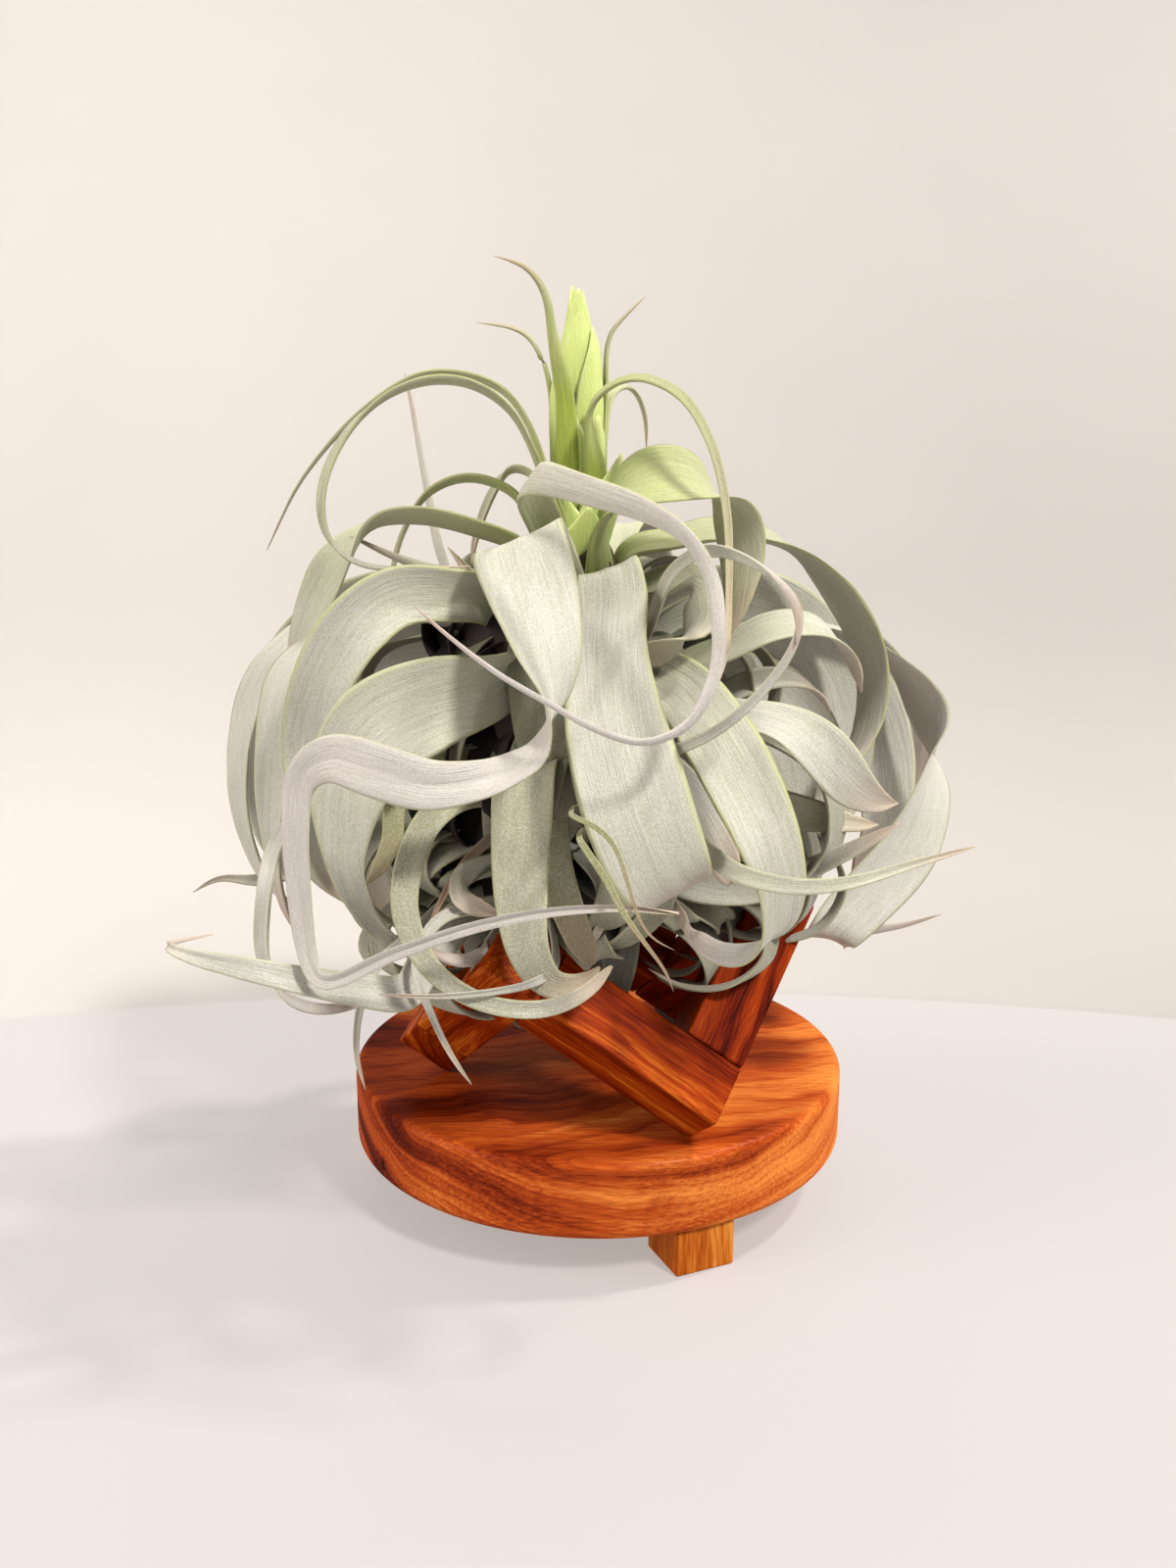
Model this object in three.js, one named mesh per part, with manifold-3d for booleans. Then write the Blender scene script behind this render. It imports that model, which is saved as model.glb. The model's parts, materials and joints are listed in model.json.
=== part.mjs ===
// An air plant with a young flower spike, resting in an open zig-zag ring of six square wooden bars
// that is glued on a round wooden disc with three small block feet.
// Millimetres, +Z up, the viewer stands on the -Y side.
import * as THREE from 'three';
import * as BufferGeometryUtils from 'three/addons/utils/BufferGeometryUtils.js';
import Module from 'manifold-3d';

const wasm = await Module();
wasm.setup();

const gap = 0.3; // air between two pieces that touch

// stand
const barSide = 18; // the bars and the feet are cut from one square stock
const footHeight = 14;
const discRadius = 75;
const discThickness = 23;
const discEdgeRound = 2;
const discSides = 72;
const footReach = 63; // from the disc's centre to the middle of a foot
const footDirections = [-66, 54, 174]; // degrees from +X
const frameEdge = 76; // edge of the cube that the six bars follow
const frameTurn = 28.3; // degrees from -Y to the bar end at the front
const frameShift = new THREE.Vector2(1.6, -17); // ring centre, seen from the disc's centre
const seatDepth = 1.2; // how much is sanded off the three low corners
const discTop = footHeight + discThickness;

// plant
const stemCentre = new THREE.Vector2(-6, -14);
const stemRadius = 9;
const stemTop = 188;
const stemProfile = [ // radius and height of the short stem inside the rosette
  [0, 78], [5.4, 79], [stemRadius, 88], [stemRadius, 178], [6.5, stemTop], [0, stemTop],
];
const turnedSides = 16; // of the stem and the spike
const leafThickness = 1.2; // at the middle of a blade, which thins to its edges
const tipThickness = 0.3; // where a blade has run out to a thread
const fullThicknessWidth = 6; // from this width on a blade has its full thickness
const channelDepth = 0.1; // how far a blade's edges stand up, as a share of its width
const stepLength = 10; // along a blade
const fewestSteps = 6;
const spikeProfile = [ // radius and height of the flower spike
  [6.5, 188.3], [7.4, 200], [7.8, 216], [7.6, 232], [6, 246], [3.4, 257], [1.4, 264], [0, 266],
];

const materials = {
  wood: new THREE.MeshStandardMaterial({ color: '#a4501f', roughness: 0.45, metalness: 0 }),
  leaf: new THREE.MeshStandardMaterial({ color: '#c3c8b6', roughness: 0.8, metalness: 0 }),
  youngLeaf: new THREE.MeshStandardMaterial({ color: '#b7cf72', roughness: 0.6, metalness: 0 }),
  stem: new THREE.MeshStandardMaterial({ color: '#5c4a36', roughness: 0.9, metalness: 0 }),
};

const airPlant = new THREE.Group();

function addPiece(name, geometry, material) {
  const mesh = new THREE.Mesh(geometry, material);
  mesh.name = name;
  airPlant.add(mesh);
  return mesh;
}

function toRadians(degrees) {
  return THREE.MathUtils.degToRad(degrees);
}

// ---------- disc and feet

function roundedDiscProfile() {
  const flat = discRadius - discEdgeRound;
  const profile = new THREE.Path();
  profile.moveTo(0, 0);
  profile.lineTo(flat, 0);
  profile.absarc(flat, discEdgeRound, discEdgeRound, -Math.PI / 2, 0, false);
  profile.absarc(flat, discThickness - discEdgeRound, discEdgeRound, 0, Math.PI / 2, false);
  profile.lineTo(0, discThickness);
  return profile.getPoints(3);
}

function addDisc() {
  const disc = new THREE.LatheGeometry(roundedDiscProfile(), discSides);
  disc.rotateX(Math.PI / 2);
  disc.translate(0, 0, footHeight);
  addPiece('stand_disc', disc, materials.wood);
}

function addFeet() {
  footDirections.forEach((direction, index) => {
    const foot = new THREE.BoxGeometry(barSide, barSide, footHeight - gap);
    foot.translate(footReach, 0, (footHeight - gap) / 2);
    foot.rotateZ(toRadians(direction));
    addPiece(`stand_foot_${index + 1}`, foot, materials.wood);
  });
}

// ---------- ring of six bars along a cube that stands on its corner

function frameAxis(turn) {
  const rise = 1 / Math.sqrt(3);
  const run = Math.sqrt(2 / 3);
  return new THREE.Vector3(run * Math.sin(toRadians(turn)), -run * Math.cos(toRadians(turn)), rise);
}

function frameMatrix() {
  const matrix = new THREE.Matrix4().makeBasis(
    frameAxis(frameTurn), frameAxis(frameTurn + 120), frameAxis(frameTurn - 120));
  const cornerHeight = discTop + gap - seatDepth - (frameEdge - barSide) / Math.sqrt(3);
  matrix.setPosition(frameShift.x, frameShift.y, cornerHeight);
  return matrix;
}

function toSolid(geometry) {
  const bare = geometry.clone();
  bare.deleteAttribute('normal');
  bare.deleteAttribute('uv');
  const merged = BufferGeometryUtils.mergeVertices(bare, 1e-3);
  return new wasm.Manifold(new wasm.Mesh({
    numProp: 3,
    vertProperties: new Float32Array(merged.attributes.position.array),
    triVerts: new Uint32Array(merged.index.array),
  }));
}

function fromSolid(solid) {
  const mesh = solid.getMesh();
  const geometry = new THREE.BufferGeometry();
  geometry.setAttribute('position', new THREE.BufferAttribute(mesh.vertProperties, 3));
  geometry.setIndex(new THREE.BufferAttribute(mesh.triVerts, 1));
  return geometry;
}

function addRing() {
  const near = [0, barSide];
  const far = [frameEdge - barSide, frameEdge];
  const fromLow = [0, frameEdge - barSide - gap];
  const fromHigh = [barSide + gap, frameEdge];
  // each bar runs through at one end and butts against its neighbour at the other
  const bars = {
    ring_bar_front: [far, near, fromLow],
    ring_bar_front_left: [fromHigh, near, far],
    ring_bar_back_left: [near, fromLow, far],
    ring_bar_back: [near, far, fromHigh],
    ring_bar_back_right: [fromLow, far, near],
    ring_bar_right: [far, fromHigh, near],
  };
  const roomSize = 4 * frameEdge;
  const room = new THREE.BoxGeometry(roomSize, roomSize, roomSize);
  room.translate(0, 0, discTop + gap + roomSize / 2);
  const aboveDisc = toSolid(room);
  for (const [name, [x, y, z]] of Object.entries(bars)) {
    const bar = new THREE.BoxGeometry(x[1] - x[0], y[1] - y[0], z[1] - z[0]);
    bar.translate((x[0] + x[1]) / 2, (y[0] + y[1]) / 2, (z[0] + z[1]) / 2);
    bar.applyMatrix4(frameMatrix());
    addPiece(name, fromSolid(toSolid(bar).intersect(aboveDisc)), materials.wood);
  }
}

// ---------- stem and flower spike

function addStem() {
  addPiece('stem', turnedSolid(stemProfile), materials.stem);
}

function addSpike() {
  const foot = [0, spikeProfile[0][1]];
  addPiece('flower_spike', turnedSolid([foot, ...spikeProfile]), materials.youngLeaf);
}

function turnedSolid(profile) {
  const points = profile.map(([radius, height]) => new THREE.Vector2(radius, height));
  const solid = new THREE.LatheGeometry(points, turnedSides);
  solid.rotateX(Math.PI / 2);
  solid.translate(stemCentre.x, stemCentre.y, 0);
  return solid;
}

function spikeRadius(height) {
  const above = spikeProfile.findIndex((point) => point[1] > height);
  const [lowRadius, lowHeight] = spikeProfile[above - 1];
  const [highRadius, highHeight] = spikeProfile[above];
  return THREE.MathUtils.mapLinear(height, lowHeight, highHeight, lowRadius, highRadius);
}

// ---------- leaves

// A leaf starts at [direction in degrees, height, width] on the stem or the spike. Then come the points
// that its midline passes, each with the direction of its width from edge to edge and its width:
// [x, y, z, across x, across y, across z, width].
function leafRows([direction, height, width], points) {
  const carrier = height > stemTop ? spikeRadius(height) : stemRadius;
  const reach = carrier + gap + leafThickness / 2;
  const angle = toRadians(direction);
  const base = [
    stemCentre.x + reach * Math.cos(angle), stemCentre.y + reach * Math.sin(angle), height,
    -Math.sin(angle), Math.cos(angle), 0, width,
  ];
  return [base, ...points];
}

function bladeGeometry(rows) {
  const midline = new THREE.CatmullRomCurve3(rows.map((row) => new THREE.Vector3(row[0], row[1], row[2])));
  const acrossLine = new THREE.CatmullRomCurve3(
    rows.map((row) => new THREE.Vector3(row[3], row[4], row[5]).normalize()));
  const steps = Math.max(fewestSteps, Math.round(midline.getLength() / stepLength));
  const positions = [];
  for (let step = 0; step <= steps; step += 1) {
    const t = midline.getUtoTmapping(step / steps);
    const centre = midline.getPoint(t);
    const along = midline.getTangent(t);
    const across = acrossLine.getPoint(t);
    across.addScaledVector(along, -across.dot(along)).normalize();
    const upper = along.clone().cross(across);
    const place = t * (rows.length - 1);
    const row = Math.min(Math.floor(place), rows.length - 2);
    const width = THREE.MathUtils.lerp(rows[row][6], rows[row + 1][6], place - row);
    const fullness = Math.min(1, width / fullThicknessWidth);
    const half = THREE.MathUtils.lerp(tipThickness, leafThickness, fullness) / 2;
    const lift = channelDepth * width;
    const corners = [[-width / 2, lift], [0, half], [width / 2, lift], [0, -half]];
    for (const [side, height] of corners) {
      const corner = centre.clone().addScaledVector(across, side).addScaledVector(upper, height);
      positions.push(corner.x, corner.y, corner.z);
    }
  }
  const faces = [];
  for (let step = 0; step < steps; step += 1) {
    for (let side = 0; side < 4; side += 1) {
      const a = step * 4 + side;
      const b = step * 4 + (side + 1) % 4;
      if (side % 2 === 0) faces.push(a, a + 4, b, b, a + 4, b + 4);
      else faces.push(a, a + 4, b + 4, a, b + 4, b); // the upper and lower side fold alike
    }
  }
  const last = steps * 4;
  faces.push(0, 1, 3, 1, 2, 3, last, last + 3, last + 1, last + 1, last + 3, last + 2);
  const blade = new THREE.BufferGeometry();
  blade.setAttribute('position', new THREE.BufferAttribute(new Float32Array(positions), 3));
  blade.setIndex(faces);
  return blade;
}

function addLeaves(leaves, material) {
  for (const [name, { from, points }] of Object.entries(leaves)) {
    addPiece(name, bladeGeometry(leafRows(from, points)), material);
  }
}

const spikeLeaves = {
  spike_leaf_arch_right: {
    from: [-50, 214, 6.5],
    points: [
      [-2, -28, 232, 0, 1, 0.2, 7.6], [8, -32, 239, 0.2, 1, 0.3, 7], [20, -38, 235, 0.5, 1, 0.5, 6],
      [28, -44, 223, 0.9, 0.6, 0.3, 5], [32, -50, 206, 1, 0.4, 0, 4.5], [32, -62, 187, 1, 0.3, 0, 3.5],
      [30, -78, 172, 1, 0, 0, 2.5], [26, -85, 163, 1, 0, -0.4, 1.2],
    ],
  },
  spike_leaf_tall: {
    from: [-115, 234, 4],
    points: [
      [-12, -25, 250, 0.6, 0.8, 0, 4], [-14, -28, 261, 0.6, 0.8, 0, 3.4],
      [-19, -32, 267, 0.3, 0.8, 0.4, 2.4], [-27, -36, 269, 0, 1, 0.4, 1],
    ],
  },
  spike_leaf_left: {
    from: [175, 238, 3.5],
    points: [
      [-18, -15, 250, 0, 1, 0.3, 3], [-23, -17, 253, 0, 1, 0.3, 2.4], [-33, -20, 254, 0, 1, 0.3, 1],
    ],
  },
  spike_leaf_right: {
    from: [10, 236, 4],
    points: [
      [3, -13, 251, 0, 1, 0.3, 3.6], [8, -11, 257, 0.2, 1, 0.3, 2.4], [13, -8, 262, 0.2, 1, 0.2, 1],
    ],
  },
  spike_leaf_back_right: {
    from: [40, 222, 5],
    points: [
      [4, 0, 236, -0.3, 1, 0.2, 4.4], [9, 6, 238, -0.2, 1, 0.3, 3.8], [13, 10, 231, -0.5, 1, 0, 2.6],
      [14, 12, 220, -0.5, 1, 0, 1],
    ],
  },
  spike_leaf_upper_left: {
    from: [196, 208, 7],
    points: [
      [-19, -17, 226, 0, -1, 0.3, 6], [-26, -19, 236, 0, -1, 0.3, 5.6],
      [-36, -20, 240, 0, -1, 0.3, 5.2], [-48, -20, 240, 0, -1, 0.3, 4.8],
      [-64, -18, 231, 0, -1, 0.2, 3.8], [-82, -14, 213, 0, -1, 0, 2.4], [-94, -10, 193, 0, -1, 0, 1],
    ],
  },
  spike_leaf_left_hoop: {
    from: [222, 200, 8],
    points: [
      [-18, -28, 220, 0, -1, 0.3, 7], [-24, -34, 231, 0, -1, 0.3, 6.6],
      [-33, -38, 237, 0, -1, 0.4, 6.2], [-43, -40, 238, 0, -1, 0.4, 5.8],
      [-55, -40, 234, 0.2, -1, 0.3, 5.6], [-67, -38, 223, 0.6, -0.8, 0, 5.4],
      [-72, -42, 209, 0.6, -0.8, 0, 5], [-70, -44, 198, 0.6, -0.8, -0.2, 4],
      [-62, -44, 192, 0, -1, -0.5, 3], [-34, -40, 191, 0, -1, -0.3, 1.2],
    ],
  },
};

const plantLeaves = {
  leaf_crown_left: {
    from: [178, 190, 9],
    points: [
      [-19, -16, 201, 0, -1, 0.4, 8], [-24, -18, 209, 0, -1, 0.4, 7], [-36, -17, 213, 0, -1, 0.4, 6.4],
      [-47, -14, 209, 0, -1, 0.3, 6], [-54, -11, 200, 0.2, -1, 0, 5], [-58, -9, 189, 0.3, -1, 0, 4],
      [-59, -8, 177, 0.3, -1, 0, 2],
    ],
  },
  leaf_crown_left_low: {
    from: [205, 178, 12],
    points: [
      [-22, -26, 194, 0, -1, 0.5, 12], [-35, -30, 200, 0, -1, 0.5, 12], [-48, -32, 203, 0, -1, 0.5, 12],
      [-60, -30, 201, 0.3, -1, 0.3, 13], [-70, -26, 192, 0.7, -0.7, 0, 14],
      [-79, -18, 180, 0.7, -0.7, 0, 15], [-85, -13, 166, 0.6, -0.8, 0, 13],
      [-88, -11, 149, 0.6, -0.8, 0, 8],
    ],
  },
  leaf_back_upright: {
    from: [140, 172, 9],
    points: [
      [-29, 4, 184, 0, -1, 0, 8], [-42, 18, 178, 0, -1, 0, 7], [-49, 30, 188, 0.6, -0.8, 0, 5],
      [-54, 36, 211, 0.7, -0.7, 0, 3.4], [-58, 40, 234, 0.7, -0.7, 0, 2.2],
      [-60, 42, 244, 0.7, -0.7, 0, 1],
    ],
  },
  leaf_crown_right: {
    from: [-35, 184, 13],
    points: [
      [1, -28, 198, 0.2, 1, 0, 14], [4, -31, 207, 0.1, 0.9, 0.5, 17], [13, -33, 213, 0, 0.7, 0.75, 19],
      [24, -32, 213, -0.2, 0.75, 0.7, 18], [34, -29, 206, -0.7, 0.7, 0.3, 17],
      [38, -28, 194, -0.8, 0.6, 0, 14], [37, -31, 182, -0.7, 0.7, 0, 9],
      [34, -34, 171, -0.5, 0.8, 0, 3],
    ],
  },
  leaf_right_great_arch: {
    from: [-8, 176, 15],
    points: [
      [8, -16, 191, 0, 1, 0.2, 18], [22, -12, 195, 0, 1, 0.2, 21], [37, -6, 197, 0, 1, 0.2, 24],
      [54, 0, 193, -0.1, 1, 0.1, 25], [69, 5, 179, -0.4, 0.9, 0, 23], [80, 8, 161, -0.45, 0.88, 0, 19],
      [81, 6, 143, -0.45, 0.88, 0, 14], [76, 0, 132, -0.5, 0.85, 0, 8], [67, -8, 126, -0.3, 0.9, 0, 3],
    ],
  },
  leaf_front_loop: {
    from: [-122, 185, 10],
    points: [
      [-14, -31, 200, -0.9, 0, -0.3, 10], [-18, -50, 214, -0.54, 0, -0.84, 11.5],
      [-3, -64, 211, -0.1, 0.1, -1, 10.5], [10, -74, 207, -0.3, 0.3, -0.9, 8.6],
      [20, -82, 201, -0.5, 0.8, -0.4, 6.2], [26, -87, 191, -1, 0.3, 0, 5.2],
      [27, -91, 182, -1, 0.3, 0, 5.2], [27, -93, 174, -1, 0.3, 0.1, 5],
      [24, -96, 165, -0.9, -0.1, 0.4, 4.4], [20, -97, 159, -0.5, -0.3, 0.9, 3.8],
      [10, -98, 155, 0, -0.5, 1, 3.2], [-1, -98, 158, 0.2, -0.4, 1, 3],
      [-12, -97, 164, 0.3, -0.4, 0.9, 2.7], [-24, -96, 171, 0.4, -0.3, 0.9, 2.3],
      [-36, -94, 180, 0.5, -0.3, 0.8, 1.7], [-43, -92, 186, 0.5, -0.3, 0.8, 1],
    ],
  },
  leaf_front_long: {
    from: [-58, 168, 13],
    points: [
      [1, -36, 185, 1, 0, 0.3, 15], [2, -44, 191, 1, 0, 0.4, 17], [3, -51, 183, 1, 0, 0.3, 20.4],
      [2, -58, 174, 1, 0, 0.25, 19.4], [3, -67, 158, 1, 0, 0.2, 25], [7, -82, 142, 1, 0, 0.2, 28],
      [12, -88, 128, 1, 0, 0.25, 27], [17, -88, 118, 1, 0, 0.6, 24], [21, -79, 114, 1, 0, 0.6, 16],
      [23, -71, 115, 1, 0, 0.5, 8],
    ],
  },
  leaf_front_twist: {
    from: [-106, 174, 13],
    points: [
      [-15, -37, 191, 1, 0, 0.25, 20], [-21, -49, 199, 1, 0, 0.46, 26],
      [-17, -61, 186, 1, 0.2, 0.12, 24.5], [-13, -73, 172, 0.85, 0.5, 0, 19],
      [-12, -81, 159, 0.1, 1, 0.1, 13], [-15, -84, 150, -0.3, 0.85, 0.4, 11],
      [-23, -89, 146, 0.1, 0.75, 0.65, 8.6], [-31, -94, 145, 0.1, 0.4, 0.9, 10],
      [-41, -97, 145, 0.1, 0.2, 1, 13], [-53, -98, 149, 0.2, 0.2, 1, 13.6],
      [-63, -95, 151, -0.1, 0.3, 1, 12], [-71, -90, 145, -0.8, 0.3, 0.4, 8.6],
      [-73, -89, 131, -1, 0.3, 0, 7.5], [-73, -88, 116, -1, 0.3, 0, 7], [-72, -88, 102, -1, 0.2, 0, 6],
      [-69, -90, 94, -0.6, 0.2, -0.8, 4.4], [-50, -95, 103, 0, 0.2, -1, 4],
      [-31, -99, 111, 0, 0.2, -1, 3.6], [-12, -102, 116, 0, 0.2, -1, 3],
      [6, -105, 118, 0, 0.2, -1, 2.2], [18, -106, 117, 0, 0.2, -1, 1],
    ],
  },
  leaf_left_great_arch: {
    from: [208, 160, 12],
    points: [
      [-21, -22, 173, 0, 0.8, -0.6, 12], [-30, -32, 181, 0, 0.4, -1, 14],
      [-39, -44, 184, 0, 0.2, -1, 15], [-53, -52, 184, 0.3, 0, -1, 17],
      [-64, -58, 175, 0.75, 0, -0.65, 18], [-72, -60, 160, 1, 0, -0.2, 16],
      [-76, -58, 144, 1, 0, 0, 13], [-75, -58, 128, 1, 0.2, 0, 10], [-73, -54, 112, 1, 0.3, 0, 7],
      [-68, -48, 100, 1, 0.3, 0, 3],
    ],
  },
  leaf_left_broad: {
    from: [225, 140, 14],
    points: [
      [-19, -36, 161, 0, 0.3, -1, 15], [-32, -48, 159, 0.1, 0.1, -1, 20],
      [-45, -59, 157, 0.2, 0, -1, 26], [-57, -67, 151, 0.6, 0, -0.8, 27],
      [-63, -70, 139, 0.95, 0, -0.2, 22], [-65, -70, 127, 1, 0.1, 0, 14.5],
      [-65, -69, 116, 1, 0.2, 0.1, 8.5], [-62, -66, 105, 0.8, 0.3, 0.5, 6.2],
      [-56, -58, 93, 0.5, 0.4, 0.8, 5], [-46, -50, 85, 0.2, 0.5, 0.9, 3],
    ],
  },
  leaf_lower_loop: {
    from: [229, 115, 9],
    points: [
      [-21, -34, 126, 0, 0.3, -1, 9], [-35, -56, 133, 0.2, 0.2, -1, 8],
      [-44, -72, 129, 0.8, 0.2, -0.5, 7.5], [-48, -80, 119, 1, 0.2, 0, 7.5],
      [-48, -85, 109, 1, 0.1, 0.2, 7], [-42, -88, 97, 0.7, 0, 0.7, 6], [-30, -88, 88, 0.2, 0.2, 1, 5],
      [-15, -86, 85, 0, 0.3, 1, 5], [-4, -80, 87, -0.5, 0.3, 0.8, 4.4], [3, -74, 92, -0.7, 0.3, 0.6, 3],
    ],
  },
  leaf_front_hanging: {
    from: [-112, 128, 12],
    points: [
      [-15, -44, 137, 1, 0, 0.2, 15], [-19, -56, 138, 1, 0, 0.2, 17], [-20, -68, 126, 1, 0, 0.05, 16],
      [-20, -76, 111, 1, 0, 0, 14], [-18, -80, 98, 1, 0, 0.2, 11], [-13, -78, 89, 0.8, 0.2, 0.6, 8],
      [-5, -74, 87, 0.2, 0.6, 0.8, 6], [0, -72, 91, -0.4, 0.6, 0.6, 3],
    ],
  },
  leaf_front_second: {
    from: [-84, 119, 8],
    points: [
      [-11, -40, 129, 1, 0, 0.1, 11], [-14, -50, 131, 1, 0, 0.1, 12], [-13, -60, 118, 1, 0, 0, 11],
      [-9, -65, 106, 1, 0, 0, 9], [-5, -69, 97, 1, 0, 0.3, 8], [-2, -71, 91, 1, 0.1, 0.3, 6],
    ],
  },
  leaf_left_outer: {
    from: [164, 160, 11.6],
    points: [
      [-29, 0, 173, 0, -1, 0.2, 16], [-56, 8, 179, 0, -1, 0.3, 18], [-79, 10, 174, 0.3, -1, 0.2, 19],
      [-99, 9, 157, 0.6, -0.8, 0, 18], [-107, 6, 137, 0.6, -0.8, 0, 16],
      [-108, 2, 116, 0.6, -0.8, 0, 13], [-102, -4, 98, 0.6, -0.8, 0, 9],
      [-91, -12, 88, 0.5, -0.8, 0, 4],
    ],
  },
  leaf_left_second: {
    from: [188, 150, 12],
    points: [
      [-31, -14, 167, 0, -1, 0.2, 14], [-55, -20, 175, 0, -1, 0.3, 16],
      [-73, -31, 172, 0.4, -0.9, 0.2, 18], [-84, -36, 160, 0.75, -0.65, 0, 18],
      [-88, -37, 141, 0.8, -0.6, 0, 16], [-90, -38, 122, 0.75, -0.65, 0, 12],
      [-89, -40, 106, 0.6, -0.8, 0, 7], [-85, -44, 93, 0.6, -0.8, 0, 3],
    ],
  },
  leaf_left_ring: {
    from: [204, 112, 10],
    points: [
      [-31, -24, 131, 0, -1, 0.3, 9], [-57, -34, 131, 0.2, -1, 0.3, 8.5],
      [-77, -42, 129, 0.4, -1, 0.2, 8], [-86, -53, 118, 0.7, -0.7, 0, 7],
      [-88, -62, 104, 0.8, -0.6, 0, 6], [-88, -64, 89, 0.8, -0.6, 0, 5.5],
      [-83, -64, 80, 0.4, -0.8, -0.5, 4.6], [-74, -58, 74, 0, -0.8, -0.6, 3.8],
      [-61, -50, 74, -0.2, -0.8, -0.5, 2.4],
    ],
  },
  leaf_left_pointing: {
    from: [224, 106, 10],
    points: [
      [-25, -36, 101, 0, -0.6, -1, 10], [-38, -54, 98, 0.2, -0.4, -1, 11],
      [-46, -67, 90, 0.5, -0.3, -0.9, 10.5], [-50, -75, 85, 0.3, -0.4, -1, 10],
      [-60, -81, 88, 0, -0.4, -1, 9], [-76, -86, 93, 0, -0.4, -1, 7], [-89, -91, 98, 0, -0.4, -1, 6],
      [-100, -94, 102, 0, -0.4, -1, 4], [-106, -92, 104, 0.3, -0.8, -0.6, 2],
      [-103, -88, 104, 0, -1, -0.3, 1.6], [-96, -84, 104, 0, -1, -0.3, 1],
    ],
  },
  leaf_back_left_low: {
    from: [150, 118, 12],
    points: [
      [-34, 16, 110, 0, -1, 0.2, 13], [-66, 28, 96, 0, -1, 0.2, 12], [-93, 30, 87, 0, -1, 0.2, 9],
      [-110, 24, 85, 0, -0.6, -0.8, 4.5], [-121, 20, 87, 0, -0.6, -0.8, 2],
      [-129, 18, 83, 0, -0.6, -0.8, 1],
    ],
  },
  leaf_small_yellow: {
    from: [206, 126, 8],
    points: [
      [-31, -28, 138, 0, 0.3, -1, 7], [-47, -44, 137, 0.3, 0.3, -1, 6.6],
      [-54, -55, 131, 1, 0.3, -0.2, 6.2], [-54, -61, 122, 1, 0.2, 0, 6],
      [-57, -62, 116, 0.8, 0, 0.5, 5], [-62, -60, 109, 0.6, 0, 0.7, 3],
    ],
  },
  leaf_hanging_tip: {
    from: [252, 93, 6],
    points: [
      [-15, -38, 97, 0.2, 0.3, -1, 6], [-27, -54, 102, 0.7, 0.2, -0.7, 6],
      [-42, -69, 102, 1, 0, 0, 4.2], [-47, -77, 93, 1, 0, 0.3, 2.8], [-43, -79, 81, 1, 0, 0.4, 2.4],
      [-38, -80, 70, 1, 0, 0.5, 1.8], [-33, -80, 62, 1, 0, 0.5, 1],
    ],
  },
  leaf_yellow_strand: {
    from: [-70, 112, 6],
    points: [
      [-5, -44, 126, 1, 0, 0.3, 5], [-7, -81, 135, 1, -0.2, 0.5, 4], [-6, -97, 137, 1, -0.2, 0.6, 4],
      [-2, -99, 136, 1, -0.2, 0.6, 4], [3, -102, 132, 1, -0.2, 0.6, 3.8],
      [6, -105, 124, 1, -0.1, 0.5, 3.2], [9, -108, 115, 1, 0, 0.5, 2.2],
      [12, -108, 111, 0.7, 0, 0.8, 1.6], [17, -107, 108, 0.4, 0, 1, 1],
    ],
  },
  leaf_yellow_hanging: {
    from: [-76, 98, 6],
    points: [
      [-4, -60, 124, 1, 0, 0.3, 5.2], [-5, -91, 130, 1, -0.2, 0.5, 4.2],
      [-3, -102, 130, 1, -0.2, 0.5, 4.6], [1, -106, 125, 1, -0.2, 0.5, 4.6],
      [5, -110, 118, 1, 0, 0.6, 4], [10, -111, 111, 1, 0, 0.7, 2.8], [15, -108, 103, 1, 0, 0.4, 1.9],
      [17, -105, 97, 1, 0, 0.2, 1],
    ],
  },
  leaf_inner_curl: {
    from: [258, 112, 8],
    points: [
      [-18, -40, 113, 0, 0.3, -1, 8], [-29, -52, 113, 0, 0.3, -1, 7.6],
      [-37, -60, 112, 0.3, 0.5, -0.8, 7], [-37, -64, 107, 0.8, 0.4, 0.2, 6.5],
      [-32, -66, 105, 0.2, 0.4, 0.9, 6], [-26, -68, 104, 0, 0.4, 1, 4],
    ],
  },
  leaf_right_tucked: {
    from: [-8, 170, 11],
    points: [
      [11, -18, 182, 0.1, 0.9, 0.4, 12], [20, -28, 186, 0.1, 0.9, 0.4, 14],
      [26, -40, 183, -0.5, 0.8, 0.2, 13], [25, -46, 175, -0.8, 0.5, -0.3, 12],
      [16, -48, 170, -0.3, 0.5, -0.8, 10], [7, -46, 168, 0, 0.5, -0.9, 6],
    ],
  },
  leaf_right_back_tip: {
    from: [40, 160, 13],
    points: [
      [24, 18, 176, 0, 1, 0.2, 18], [56, 38, 177, 0, 1, 0.2, 20], [84, 50, 164, -0.3, 1, 0.1, 20],
      [101, 52, 144, -0.5, 0.85, 0, 17], [108, 48, 125, -0.5, 0.85, 0, 12],
      [104, 42, 111, -0.5, 0.85, 0, 3],
    ],
  },
  leaf_right_outer: {
    from: [26, 146, 13],
    points: [
      [23, 6, 163, 0, 1, 0.3, 16], [54, 21, 170, 0, 1, 0.3, 17], [85, 29, 162, -0.2, 1, 0.2, 18],
      [102, 27, 141, -0.5, 0.85, 0, 23], [104, 17, 120, 0.6, 0.7, -0.2, 21],
      [96, 8, 101, 0.9, 0.3, -0.3, 21], [81, 0, 86, 1, 0.1, -0.3, 19], [70, -4, 76, 1, 0.1, -0.25, 17],
      [73, 6, 73, 1, 0, -0.2, 12], [84, 12, 72, 0.4, 0.5, -0.7, 6], [97, 14, 73, 0, 0.5, -0.8, 2.6],
      [109, 14, 77, 0, 0.5, -0.8, 1],
    ],
  },
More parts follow.
